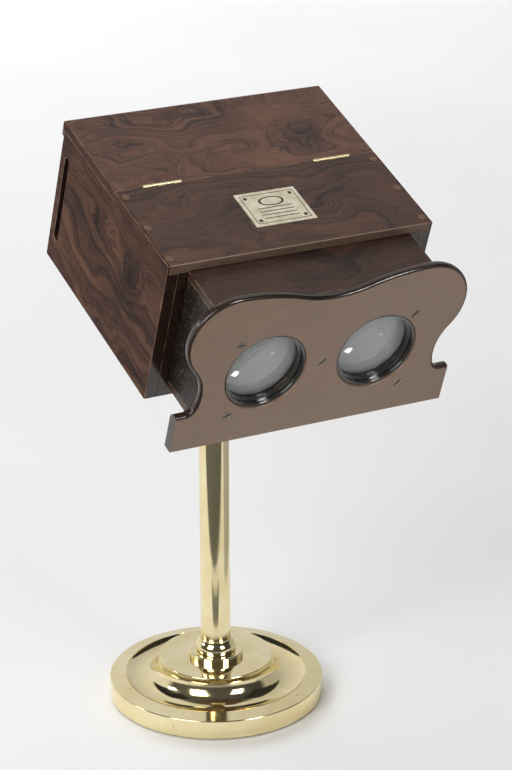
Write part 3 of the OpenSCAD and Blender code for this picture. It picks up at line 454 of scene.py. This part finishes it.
# A knot this far off shows on no board
no_knot = (900, 900, 900)
side_veneer = rosewood("rosewood_side", "y", (20, 60, 30), side_tones, 32, 7, (-95, 45, 62), 0.5, gloss=0.08)
front_veneer = rosewood("rosewood_front_top", "x", (0, -20, -60), case_tones, 45, 9, no_knot, 0.35)
plain_rosewood = rosewood("rosewood_plain", "x", (300, 90, 40), case_tones, 25, 9, no_knot, 0.35)
upright_rosewood = rosewood("rosewood_upright", "z", (120, 60, -30), case_tones, 20, 9, no_knot, 0.4,
                            gloss=0.25)
# Faces that look forwards, and the lens carrier deep in the hood, take near-black tones: painted shade where
# the hood and the box's front keep the light off them
front_faces_painted_shade = rosewood("rosewood_front_painted_shade", "x", (90, 20, 40), front_shade_tones, 15, 9, no_knot, 0.1, gloss=0.8)
# The front top's front face takes paler tones than the rest of the case: painted light where the light falls
# on that face
front_face_painted_light = rosewood("rosewood_front_face_painted_light", "x", (300, 20, 40), lit_front_face_tones, 15, 9, no_knot, 0.3)
# Paler finishes for the arrises: partly worn wood and partly painted highlight lines
case_arris_wear_and_highlight = rosewood("rosewood_worn_arris_and_painted_highlight", "x", (50, 90, 40), case_tones, 25, 9, no_knot, 0.4, pale_wear_and_highlight=0.45)
rubbed_arris_wear_and_highlight = rosewood("rosewood_rubbed_arris_and_painted_highlight", "x", (50, 90, 40), case_tones, 25, 9, no_knot, 0.3,
                        gloss=0.6, pale_wear_and_highlight=0.75)
forwards = (0, -1, 0)
# The faces of these boards that look forwards take the near-black painted shade
for side in ("left", "right"):
    for node, finish in (("side_board_", side_veneer), ("guide_", upright_rosewood),
                         ("back_stile_", upright_rosewood), ("glazing_bead_", upright_rosewood),
                         ("card_guide_", upright_rosewood)):
        piece = eased_copy(node + side, 0.35, finish, case_arris_wear_and_highlight)
        fit(finish_faces(piece, front_faces_painted_shade, forwards), "box", "rosewood", node + side)
# Here too the faces that look forwards take the near-black painted shade
for node in ("bottom_board", "back_rail_low", "back_rail_top", "glazing_bead_low", "glazing_bead_top"):
    piece = eased_copy(node, 0.35, plain_rosewood, case_arris_wear_and_highlight)
    fit(finish_faces(piece, front_faces_painted_shade, forwards), "box", "rosewood", node)
# The fixed top's arrises are rubbed most along its front and along the lid's joint, and made paler there,
# partly worn wood and partly a painted highlight line
joint_y = 79.7
top_z = 106.5
front_top = eased_copy("front_top", 0, front_veneer)
front_top.data.materials.append(rubbed_arris_wear_and_highlight)
pick_edges(front_top, lambda p: p.y < 0.01)
round_picked(0.6, 3, 1)
pick_edges(front_top, lambda p: p.y > joint_y and p.z > top_z)
round_picked(0.5, 2, 1)
level_flats(front_top)
# Its front face takes the paler painted light
fit(finish_faces(front_top, front_face_painted_light, forwards), "box", "rosewood", "front_top")


# Ground glass: the frosted pane in the back frame, which spreads the light behind the picture card.
# It lies in a rebate, and the four beads hold it.
def frosted_glass():
    """Ground glass: white and even, lets light through, with a fine matt grain."""
    material, tree, shader, place = start_material("ground_glass")
    # Grain of the grinding powder, drawn 0.4 mm wide so that it shows
    grain = add_node(tree, "ShaderNodeTexNoise", {"Vector": place, "Scale": 2500, "Detail": 2})
    tint = add_node(tree, "ShaderNodeValToRGB", {"Fac": grain.outputs[0]},
                    [(0.3, linear("E2E7E5")), (0.7, linear("EBEFED"))])
    bump = add_node(tree, "ShaderNodeBump",
                    {"Height": grain.outputs[0], "Strength": 0.1, "Distance": 0.00005})
    tree.links.new(tint.outputs[0], shader.inputs["Base Color"])
    tree.links.new(bump.outputs[0], shader.inputs["Normal"])
    shader.inputs["Transmission Weight"].default_value = 0.3
    shader.inputs["Roughness"].default_value = 0.8
    shader.inputs["IOR"].default_value = 1.52
    return material


frame["nodes"]["ground_glass"].data.materials[0] = frosted_glass()


# Plugs: short pale dowels over the nails of the front top, cut off flush and polished with it.
# They show their end grain, three along each side.
def end_grain():
    """End grain of a pale hardwood: a warm mid brown, speckled with open pores."""
    material, tree, shader, place = start_material("end_grain_hardwood")
    # Pores about 0.6 mm apart
    specks = add_node(tree, "ShaderNodeTexNoise", {"Vector": place, "Scale": 1600, "Detail": 3})
    tint = add_node(tree, "ShaderNodeValToRGB", {"Fac": specks.outputs[0]},
                    [(0.35, linear("4A3324")), (0.65, linear("8F6B4C"))])
    tree.links.new(tint.outputs[0], shader.inputs["Base Color"])
    shader.inputs["Roughness"].default_value = 0.45
    shader.inputs["Coat Weight"].default_value = 0.2
    return material


frame["nodes"]["top_plugs"].data.materials[0] = end_grain()


# Label: a cream paper plaque glued to the middle of the front top, with a printed border.
# Its ornament is a ruled border, a ring and a few plain lines.
def printed_paper():
    """Old label paper: matt cream, foxed in patches, with a border, a ring and rules in dark brown ink."""
    material, tree, shader, place = start_material("label_paper")
    # Millimetres from the label's middle, which lies 40 mm behind the box's front edge
    label_middle = Vector((0, 40, 107))
    middle = add_node(tree, "ShaderNodeMapping",
                      {"Vector": place, "Location": box_shift - label_middle,
                       "Rotation": (-tilt, 0, 0), "Scale": (1000, 1000, 1000)})
    # A ruled line 0.56 mm wide round the label, 38 x 29 mm
    folded = add_node(tree, "ShaderNodeVectorMath", {0: middle.outputs[0]}, operation="ABSOLUTE")
    inside = add_node(tree, "ShaderNodeVectorMath", {0: folded.outputs[0], 1: (19.0, 14.5, 0)},
                      operation="SUBTRACT")
    parts = add_node(tree, "ShaderNodeSeparateXYZ", {0: inside.outputs[0]})
    edge = add_node(tree, "ShaderNodeMath", {0: parts.outputs[0], 1: parts.outputs[1]}, operation="MAXIMUM")
    border = add_node(tree, "ShaderNodeMath", {0: edge.outputs[0], 1: 0.0, 2: 0.28}, operation="COMPARE")
    # A square in each corner of the border, 2.6 mm wide
    corners = add_node(tree, "ShaderNodeVectorMath", {0: folded.outputs[0], 1: (16.2, 11.7, 0)},
                       operation="SUBTRACT")
    corner_parts = add_node(tree, "ShaderNodeVectorMath", {0: corners.outputs[0]}, operation="ABSOLUTE")
    corner_axes = add_node(tree, "ShaderNodeSeparateXYZ", {0: corner_parts.outputs[0]})
    corner_reach = add_node(tree, "ShaderNodeMath", {0: corner_axes.outputs[0], 1: corner_axes.outputs[1]},
                            operation="MAXIMUM")
    squares = add_node(tree, "ShaderNodeMath", {0: corner_reach.outputs[0], 1: 1.3}, operation="LESS_THAN")
    # An oval ring above the middle and ruled lines 3.4 mm apart below it
    oval = add_node(tree, "ShaderNodeMapping",
                    {"Vector": middle.outputs[0], "Location": (0, -1.35, 0), "Scale": (0.11, 0.21, 0)})
    oval_reach = add_node(tree, "ShaderNodeVectorMath", {0: oval.outputs[0]}, operation="LENGTH")
    oval_ring = add_node(tree, "ShaderNodeMath", {0: oval_reach.outputs["Value"], 1: 0.9, 2: 0.1},
                         operation="COMPARE")
    axes = add_node(tree, "ShaderNodeSeparateXYZ", {0: middle.outputs[0]})
    row = add_node(tree, "ShaderNodeMath", {0: axes.outputs[1], 1: 1.7}, operation="PINGPONG")
    ruled = add_node(tree, "ShaderNodeMath", {0: row.outputs[0], 1: 0.4}, operation="LESS_THAN")
    rules = add_node(tree, "ShaderNodeVectorMath",
                     {0: middle.outputs[0], 1: (0, -5.6, 0)}, operation="SUBTRACT")
    rules_folded = add_node(tree, "ShaderNodeVectorMath", {0: rules.outputs[0]}, operation="ABSOLUTE")
    rules_axes = add_node(tree, "ShaderNodeSeparateXYZ", {0: rules_folded.outputs[0]})
    short = add_node(tree, "ShaderNodeMath", {0: rules_axes.outputs[0], 1: 12.5}, operation="LESS_THAN")
    low = add_node(tree, "ShaderNodeMath", {0: rules_axes.outputs[1], 1: 6.0}, operation="LESS_THAN")
    field = add_node(tree, "ShaderNodeMath", {0: short.outputs[0], 1: low.outputs[0]}, operation="MULTIPLY")
    lines = add_node(tree, "ShaderNodeMath", {0: ruled.outputs[0], 1: field.outputs[0]}, operation="MULTIPLY")
    marks = add_node(tree, "ShaderNodeMath",
                     {0: border.outputs[0], 1: squares.outputs[0]}, operation="MAXIMUM")
    print_marks = add_node(tree, "ShaderNodeMath", {0: oval_ring.outputs[0], 1: lines.outputs[0]},
                           operation="MAXIMUM")
    ink = add_node(tree, "ShaderNodeMath",
                   {0: marks.outputs[0], 1: print_marks.outputs[0]}, operation="MAXIMUM")
    # Foxing in patches about 8 mm across
    foxing = add_node(tree, "ShaderNodeTexNoise", {"Vector": middle.outputs[0], "Scale": 0.12, "Detail": 6})
    paper = add_node(tree, "ShaderNodeValToRGB", {"Fac": foxing.outputs[0]},
                     [(0.35, linear("C9BEA2")), (0.6, linear("E3DAC3"))])
    colour = add_node(tree, "ShaderNodeMix", {0: ink.outputs[0], 6: paper.outputs[0], 7: linear("4A3D34")},
                      data_type="RGBA")
    tree.links.new(colour.outputs[2], shader.inputs["Base Color"])
    shader.inputs["Roughness"].default_value = 0.8
    return material


frame["nodes"]["label_plate"].data.materials[0] = printed_paper()


# Hinges: two pressed brass butt hinges let into the edges of the front top and the lid.
# Their knuckles stand just above the joint and catch the light.
hinge_brass = polished_brass("pressed_brass", 0.3)
for side in ("left", "right"):
    for node in ("hinge_leaf_", "lid_leaf_", "hinge_pin_"):
        frame["nodes"][node + side].data.materials[0] = hinge_brass
for node in ("hinge_screws", "lid_screws"):
    frame["nodes"][node].data.materials[0] = hinge_brass


# Lid: a veneered board that opens upwards to light the card, with a finger strip under its back edge.
# A silvered glass reflector is let into its underside.
lid_tones = ("140A08", "5C3B2B", "7A533E")
lid_veneer = rosewood("rosewood_lid", "x", (40, -118, -75), lid_tones, 80, 11, (55, 112, 107), 0.35)
lid_board = eased_copy("lid_board", 0.5, lid_veneer, case_arris_wear_and_highlight)
fit(finish_faces(lid_board, side_veneer, (-1, 0, 0), (1, 0, 0)), "lid", "rosewood", "lid_board")
fit(eased_copy("lid_strip", 0.5, plain_rosewood, case_arris_wear_and_highlight), "lid", "rosewood", "lid_strip")


def silvered_glass():
    """Old silvered glass: a clear mirror, greyed where the silver has begun to cloud."""
    material, tree, shader, place = start_material("silvered_glass")
    shader.inputs["Metallic"].default_value = 1
    # Clouds about 30 mm across
    clouds = add_node(tree, "ShaderNodeTexNoise", {"Vector": place, "Scale": 35, "Detail": 6})
    tint = add_node(tree, "ShaderNodeValToRGB", {"Fac": clouds.outputs[0]},
                    [(0.4, linear("E8ECEE")), (0.75, linear("B9BDBD"))])
    rough = add_node(tree, "ShaderNodeMapRange",
                     {"Value": clouds.outputs[0], "From Min": 0.4, "From Max": 0.8,
                      "To Min": 0.02, "To Max": 0.25})
    tree.links.new(tint.outputs[0], shader.inputs["Base Color"])
    tree.links.new(rough.outputs[0], shader.inputs["Roughness"])
    return material


frame["nodes"]["lid_reflector"].data.materials[0] = silvered_glass()


# Lens board: the shaped front of the hood, sawn from a plainer and paler wood and worked smooth.
# Its front arris is rounded along the ears and the waist, and round both eye holes. The sawn edge is darker
# than the face and rounded more towards the back.
front_y = -47.9
back_y = -40.4
eye_x = 40
eye_z = 48.8
eye_r = 28.5
screw_x = 62.2
screw_top = 75
screw_low = 18.5


def eye_distance(p):
    """Distance from the nearer lens's axis, in millimetres."""
    return math.hypot(abs(p.x) - eye_x, p.z - eye_z)


def on_outline(p):
    """True on the outline of the ears and the waist, clear of the straight foot, the eyes and the screws."""
    foot_z = 24
    head = 8
    off_middle_screw = math.hypot(p.x, p.z - eye_z) > head
    off_top_screws = math.hypot(abs(p.x) - screw_x, p.z - screw_top) > head
    return p.z > foot_z and eye_distance(p) > eye_clear and off_middle_screw and off_top_screws


board_tones = ("806A5A", "846D5C", "88715F")
sawn_tones = ("1E1612", "33261F", "443329")
board_heart = (80, 200, 120)
board_wood = rosewood("plain_hardwood_board", "x", board_heart, board_tones, 10, 6, no_knot, 0.28, pore=0.9)
board_edge = rosewood("dark_board_edge", "x", board_heart, sawn_tones, 10, 6, no_knot, 0.12, gloss=0.6)
lens_board = eased_copy("lens_board", 0, board_wood)
lens_board.data.materials.append(board_edge)
eye_clear = 32
pick_edges(lens_board, lambda p: p.y < front_y + 0.01 and abs(eye_distance(p) - eye_r) < 0.05)
round_picked(1.2, 5)
pick_edges(lens_board, lambda p: p.y < front_y + 0.01 and on_outline(p))
round_picked(1.8, 5, 1)
pick_edges(lens_board, lambda p: p.y > back_y - 0.01 and on_outline(p))
round_picked(4.5, 6, 1)
through = box_place.to_3x3() @ Vector((0, 1, 0))
for face in lens_board.data.polygons:
    spot = box_place.inverted() @ face.center / MM
    if abs(face.normal.dot(through)) < 0.3 and eye_distance(spot) > eye_clear:
        face.material_index = 1
level_flats(lens_board)
fit(lens_board, "hood", "lens_board_wood", "lens_board")


# Hood: a sleeve of thin dark boards behind the lens board, which slides in the box to focus.
# The septum keeps the two pictures apart, and the carrier behind the lens board holds the lenses.
# Its sides are scuffed where they rub in the guides. The sides and the septum take darker tones than the top
# and bottom, painted shade where the box's front shades them, and their arrises are paler, partly wear and
# partly painted highlight.
def scuff(material):
    """Adds the pale flecks and small dents of wood that slides in its guides."""
    tree = material.node_tree
    shader = tree.nodes["Principled BSDF"]
    clean = shader.inputs["Base Color"].links[0].from_socket
    place = add_node(tree, "ShaderNodeTexCoord", {}).outputs["Object"]
    # Flecks about 2 mm across, with finer ones between them
    flecks = add_node(tree, "ShaderNodeTexNoise",
                      {"Vector": place, "Scale": 480, "Detail": 4, "Roughness": 0.7})
    pale = add_node(tree, "ShaderNodeMapRange",
                    {"Value": flecks.outputs[0], "From Min": 0.5, "From Max": 0.75,
                     "To Min": 0, "To Max": 0.6})
    # They lie thicker in places about 15 mm across
    patches = add_node(tree, "ShaderNodeTexNoise", {"Vector": place, "Scale": 65, "Detail": 2})
    thick = add_node(tree, "ShaderNodeMapRange",
                     {"Value": patches.outputs[0], "From Min": 0.35, "From Max": 0.65,
                      "To Min": 0.45, "To Max": 1})
    share = add_node(tree, "ShaderNodeMath", {0: pale.outputs[0], 1: thick.outputs[0]}, operation="MULTIPLY")
    tint = add_node(tree, "ShaderNodeMix", {0: share.outputs[0], 6: clean, 7: linear("8E7A6C")},
                    data_type="RGBA")
    tree.links.new(tint.outputs[2], shader.inputs["Base Color"])
    dents = add_node(tree, "ShaderNodeBump",
                     {"Height": flecks.outputs[0], "Strength": 0.2, "Distance": 0.0002})
    tree.links.new(dents.outputs[0], shader.inputs["Normal"])


hood_tones = ("1A0F0B", "472E22", "5C3E2F")
# Darker tones for the hood's sides, septum and arrises: painted shade where the box's front keeps the light
# off them
hood_side_shade_tones = ("060302", "180F0B", "241812")
hood_wood = rosewood("rosewood_hood", "x", (160, 30, 70), hood_tones, 20, 8, no_knot, 0.4)
hood_side_painted_shade = rosewood("rosewood_hood_side_painted_shade", "y", (60, 70, 30), hood_side_shade_tones, 20, 8, no_knot, 0.42,
                          gloss=0.3)
hood_arris_shade_wear_and_highlight = rosewood("rosewood_hood_arris_shade_wear_and_highlight", "y", (90, 70, 30), hood_side_shade_tones, 20, 8, no_knot, 0.4, pale_wear_and_highlight=0.5)
scuff(hood_side_painted_shade)
for node in ("hood_top_board", "hood_bottom_board"):
    fit(eased_copy(node, 0.4, hood_wood, hood_arris_shade_wear_and_highlight), "hood", "hood_wood", node)
# The carrier takes the near-black painted shade of the recess behind the lens board
fit(eased_copy("lens_carrier", 0.4, front_faces_painted_shade), "hood", "hood_wood", "lens_carrier")
# Sides and septum take the darker painted shade
for node in ("hood_side_left", "hood_side_right", "septum"):
    fit(eased_copy(node, 0.4, hood_side_painted_shade, hood_arris_shade_wear_and_highlight), "hood", "hood_wood", node)


# Lens rims: turned ebonised wood rings set in the eye holes, rounded in front and stepped in to the glass.
# They are black and highly polished, and draw thin bright lines round the lenses.
def ebonised_wood():
    """Ebonised wood: black stain under a hard polish, a dark mirror with the grain just showing."""
    material, tree, shader, place = start_material("ebonised_wood")
    # Grain about 1 mm across
    grain = add_node(tree, "ShaderNodeTexNoise", {"Vector": place, "Scale": 900, "Detail": 4})
    tint = add_node(tree, "ShaderNodeValToRGB", {"Fac": grain.outputs[0]},
                    [(0.3, linear("0D0B0A")), (0.7, linear("231D19"))])
    rough = add_node(tree, "ShaderNodeMapRange", {"Value": grain.outputs[0], "To Min": 0.08, "To Max": 0.16})
    tree.links.new(tint.outputs[0], shader.inputs["Base Color"])
    tree.links.new(rough.outputs[0], shader.inputs["Roughness"])
    shader.inputs["Coat Weight"].default_value = 1.0
    shader.inputs["Coat Roughness"].default_value = 0.06
    shader.inputs["Coat IOR"].default_value = 1.8
    return material


def settle(piece, place):
    """Moves a piece to a place, which goes into its mesh, so that the object itself stays at the origin."""
    piece.matrix_world = place
    bpy.ops.object.select_all(action="DESELECT")
    piece.select_set(True)
    bpy.context.view_layer.objects.active = piece
    bpy.ops.object.transform_apply(location=True, rotation=True, scale=True)


def behind_face(piece, x):
    """Lays a turned piece on a lens's axis, so that its heights become depths behind the board's face."""
    lens_axis = Matrix.Translation((x * MM, front_y * MM, eye_z * MM)) @ Matrix.Rotation(-math.pi / 2, 4, "X")
    settle(piece, box_place @ lens_axis)
    return piece


rim_black = ebonised_wood()
rim_line = eased_line([
    (26.0, 7.5), (25.5, 7.5, 0.2), (25.5, 4.0, 0.3), (26.45, 4.0), (26.45, 1.4, 0.95), (28.45, 1.4, 0.95),
    (28.45, 7.5)])
for side, x in (("left", -eye_x), ("right", eye_x)):
    rim = behind_face(turned("lens_rim_turned_" + side, rim_line, rim_black), x)
    fit(rim, "hood", "ebonised_wood", "lens_rim_" + side)


# Lenses: two ground and polished double-convex glasses, each held in the carrier by a black turned ring.
# They mirror the room in both faces, and they are pale: partly dust haze and partly painted light for the lit
# box seen through them.
def optical_glass():
    """Crown glass: a mirror gloss and a breath of dust, mostly clear, with a pale diffuse share that is
    partly dust haze and partly painted light.
    """
    material, tree, shader, place = start_material("crown_glass")
    # Dust in patches about 15 mm across
    dust = add_node(tree, "ShaderNodeTexNoise", {"Vector": place, "Scale": 70, "Detail": 5})
    rough = add_node(tree, "ShaderNodeMapRange",
                     {"Value": dust.outputs[0], "From Min": 0.4, "From Max": 0.8,
                      "To Min": 0.0, "To Max": 0.05})
    tree.links.new(rough.outputs[0], shader.inputs["Roughness"])
    shader.inputs["Base Color"].default_value = linear("F4F8F6")
    # A quarter of the glass is a pale diffuse white: partly dust haze and partly painted light for the lit
    # box seen through the lens
    shader.inputs["Transmission Weight"].default_value = 0.74
    shader.inputs["IOR"].default_value = 1.52
    return material


lens_glass = optical_glass()
# Both faces are parts of balls of 177 mm radius, and the lens's edge lies 27 mm out
ball = 177
half_angle = 8.775
front_pole = 8.7
back_pole = 15.85
lens_line = [*arc((0, front_pole + ball), ball, -90, half_angle - 90, 16),
             *arc((0, back_pole - ball), ball, 90 - half_angle, 90, 16)]
lenses = []
for side, x in (("left", -eye_x), ("right", eye_x)):
    lens = behind_face(turned("lens_ground_" + side, lens_line, lens_glass), x)
    fit(lens, "hood", "lens_glass", "lens_" + side)
    lenses.append(lens)
    frame["nodes"]["lens_ring_" + side].data.materials[0] = rim_black


# Screws of the lens board: five countersunk steel screws, browned with age, flush with the wood.
# Each slot stands as it happened to stop.
def browned_steel():
    """Browned steel: a grey metal, half dull, with small spots of rust."""
    material, tree, shader, place = start_material("browned_steel")
    shader.inputs["Metallic"].default_value = 1
    # Rust in spots about 1 mm across
    rust = add_node(tree, "ShaderNodeTexNoise", {"Vector": place, "Scale": 900, "Detail": 4})
    tint = add_node(tree, "ShaderNodeValToRGB", {"Fac": rust.outputs[0]},
                    [(0.35, linear("85796C")), (0.65, linear("ADA59A"))])
    rough = add_node(tree, "ShaderNodeMapRange", {"Value": rust.outputs[0], "To Min": 0.55, "To Max": 0.25})
    tree.links.new(tint.outputs[0], shader.inputs["Base Color"])
    tree.links.new(rough.outputs[0], shader.inputs["Roughness"])
    return material


def turn_screw(screw, x, z, angle):
    """Turns a screw of the lens board about its own axis, by that many degrees."""
    axis = box_place @ Matrix.Translation((x * MM, 0, z * MM))
    settle(screw, axis @ Matrix.Rotation(math.radians(angle), 4, "Y") @ axis.inverted())


screws = eased_copy("board_screw_set", 0.12, browned_steel(), segments=2, sharp=50)
bpy.ops.object.mode_set(mode="EDIT")
bpy.ops.mesh.separate(type="LOOSE")
bpy.ops.object.mode_set(mode="OBJECT")
screw_pieces = list(bpy.context.selected_objects)
# The turn of each slot in degrees, by the screw's place on the board
slot_turns = {(-screw_x, screw_top): 5, (screw_x, screw_top): -50, (-screw_x, screw_low): -20,
              (screw_x, screw_low): -55, (0, eye_z): -45}
for screw in screw_pieces:
    points = [box_place.inverted() @ v.co / MM for v in screw.data.vertices]
    middle = sum(points, Vector()) / len(points)
    x, z = min(slot_turns, key=lambda spot: math.hypot(spot[0] - middle.x, spot[1] - middle.z))
    turn_screw(screw, x, z, slot_turns[(x, z)])
bpy.ops.object.select_all(action="DESELECT")
for screw in screw_pieces:
    screw.select_set(True)
bpy.context.view_layer.objects.active = screws
bpy.ops.object.join()
fit(screws, "hood", "steel", "board_screw_set")


# Studio: a wide pale paper floor, two soft boxes in front and large soft lights above and behind. Dark sheets
# and small lamps that only polished pieces mirror draw the lines and glints in brass and glass.
# The camera looks down on the object from the left of its front, with a long lens.
def matt_paper():
    """Matt white background paper: even, without gloss, and faintly cloudy."""
    material, tree, shader, place = start_material("matt_white_paper")
    # Clouds about 300 mm across
    clouds = add_node(tree, "ShaderNodeTexNoise", {"Vector": place, "Scale": 3.0, "Detail": 2})
    tint = add_node(tree, "ShaderNodeValToRGB", {"Fac": clouds.outputs[0]},
                    [(0.3, linear("EFEFEF")), (0.7, linear("F3F3F3"))])
    tree.links.new(tint.outputs[0], shader.inputs["Base Color"])
    shader.inputs["Roughness"].default_value = 0.95
    shader.inputs["Specular IOR Level"].default_value = 0.1
    return material


bpy.ops.object.select_all(action="DESELECT")
bpy.ops.mesh.primitive_plane_add(size=12)
floor = bpy.context.object
floor.name = "paper_floor"
floor.data.materials.append(matt_paper())


def soft_box(name, place, aim, width, height, power, mirrored=True, lighting=True):
    """A soft box of that size and power at a place, turned to a point, which polished pieces mirror or not,
    and which lights the object or is only mirrored in it."""
    light = bpy.data.lights.new(name, "AREA")
    light.shape = "RECTANGLE"
    light.size = width
    light.size_y = height
    light.energy = power
    lamp = bpy.data.objects.new(name, light)
    bpy.context.scene.collection.objects.link(lamp)
    lamp.location = place
    lamp.visible_glossy = mirrored
    lamp.visible_diffuse = lighting
    lamp.rotation_euler = (Vector(aim) - Vector(place)).to_track_quat("-Z", "Y").to_euler()
    return lamp


toward = Vector((-0.449, -0.8935, 0))
aside = Vector((0.8935, -0.449, 0))
up = Vector((0, 0, 1))


def dark_flag(name, corners, tone):
    """A dark sheet that only polished pieces see, as a studio hangs one to draw dark lines in brass.
    Its corners are metres towards the camera, to the camera's right and up."""
    bpy.ops.object.select_all(action="DESELECT")
    bpy.ops.mesh.primitive_plane_add(size=1)
    flag = bpy.context.object
    flag.name = name
    for vertex, (near, right, high) in zip(flag.data.vertices, corners):
        vertex.co = toward * near + aside * right + up * high
    cloth = bpy.data.materials.new("dark_felt_" + name)
    cloth.use_nodes = True
    shader = cloth.node_tree.nodes["Principled BSDF"]
    shader.inputs["Base Color"].default_value = linear(tone)
    shader.inputs["Roughness"].default_value = 1
    flag.data.materials.append(cloth)
    flag.visible_camera = False
    flag.visible_diffuse = False
    flag.visible_shadow = False
    flag.visible_transmission = False


# Three sheets lie just above the paper, and two hang upright to the left and the right
low = 0.001
dark_flag("floor_flag", [(0.142, -1.2, low), (0.31, 1.2, low), (1.6, -1.2, low), (1.6, 1.2, low)], "5A5A5A")
dark_flag("near_flag", [(0.122, -0.04, low), (0.122, 0.04, low), (0.182, -0.1, low), (0.182, 0.1, low)],
          "707070")
dark_flag("right_flag", [(-0.6, 0.2, low), (-0.6, 1.5, low), (0.057, 0.2, low), (0.43, 1.5, low)], "B0B0B0")
for right in (-1.2, 1.2):
    dark_flag("side_flag", [(0.3, right, 0.8), (-1.4, right, 0.8), (0.3, right, 2.6), (-1.4, right, 2.6)],
              "1C1C1C")
box_height = (0, 0, 0.25)
right_stand = (0.5, -2.0, 1.2)
soft_box("left_strip", (-1.56, 0.85, 1.21), (-0.1, -0.13, 0.33), 0.5, 0.5, 12, lighting=False)
soft_box("right_core", right_stand, box_height, 0.5, 0.6, 20, lighting=False)
soft_box("left_soft_box", (-1.7, -0.9, 1.3), box_height, 1.1, 1.3, 27)
soft_box("right_soft_box", right_stand, box_height, 0.8, 1.0, 10.5)
soft_box("top_soft_box", (-1.2, 0.8, 2.8), (-0.1, 0.4, 0), 2.4, 2.4, 12, mirrored=False)
soft_box("far_soft_box", (0.5, 3.5, 3.0), (0.5, 3.3, 0), 4.0, 3.0, 130, mirrored=False)
# A small lamp lies on the paper before each lens, which alone mirrors it, as a glint at the lens's left end
glints = (((0.049, -0.275, 0.004), (-0.057, -0.139, 0.297)), ((0.151, -0.285, 0.004), (0.024, -0.14, 0.298)))
for lens, (lamp_place, glint) in zip(lenses, glints):
    glint_lamp = soft_box("glint_lamp", lamp_place, glint, 0.018, 0.021, 0.018, lighting=False)
    lens_alone = bpy.data.collections.new("glint_on_" + lens.name)
    lens_alone.objects.link(lens)
    glint_lamp.light_linking.receiver_collection = lens_alone
world = bpy.data.worlds.new("studio_walls")
world.use_nodes = True
walls = world.node_tree
# The walls are pale behind the object, greyer on its right, and dark on the camera's side up past the zenith
look = add_node(walls, "ShaderNodeTexCoord", {})
across = add_node(walls, "ShaderNodeVectorMath", {0: look.outputs["Generated"], 1: aside},
                  operation="DOT_PRODUCT")
pale = add_node(walls, "ShaderNodeMapRange",
                {"Value": across.outputs["Value"], "From Min": -0.5, "From Max": 0.8,
                 "To Min": 0.9, "To Max": 0.5})
ahead = add_node(walls, "ShaderNodeVectorMath",
                 {0: look.outputs["Generated"], 1: (toward + up * 0.35).normalized()},
                 operation="DOT_PRODUCT")
shade = add_node(walls, "ShaderNodeMapRange",
                 {"Value": ahead.outputs["Value"], "From Min": -0.1, "From Max": 0.1,
                  "To Min": 1, "To Max": 0.12})
mirrored = add_node(walls, "ShaderNodeMath", {0: pale.outputs[0], 1: shade.outputs[0]}, operation="MULTIPLY")
# Where the camera itself sees past the paper, the wall is as pale as the paper
path = add_node(walls, "ShaderNodeLightPath", {})
seen = add_node(walls, "ShaderNodeMath", {0: path.outputs["Is Camera Ray"], 1: 0.85}, operation="MULTIPLY")
strength = add_node(walls, "ShaderNodeMath", {0: mirrored.outputs[0], 1: seen.outputs[0]},
                    operation="MAXIMUM")
walls.nodes["Background"].inputs["Color"].default_value = linear("F2F2F2")
walls.links.new(strength.outputs[0], walls.nodes["Background"].inputs["Strength"])
bpy.context.scene.world = world

# The camera's place, the point that it looks at and its roll come from fitting the object's proportions
optics = bpy.data.cameras.new("camera")
optics.lens = 124.77
optics.sensor_width = 36
optics.clip_end = 50
camera = bpy.data.objects.new("camera", optics)
bpy.context.scene.collection.objects.link(camera)
camera.location = (-0.7818, -1.5186, 0.8803)
looks_at = Vector((0.02595, -0.01344, 0.23307))
roll = Matrix.Rotation(math.radians(-0.22), 3, "Z")
sight = (looks_at - camera.location).to_track_quat("-Z", "Y")
camera.rotation_euler = (sight.to_matrix() @ roll).to_euler()
bpy.context.scene.camera = camera
bpy.context.scene.view_settings.view_transform = "Standard"
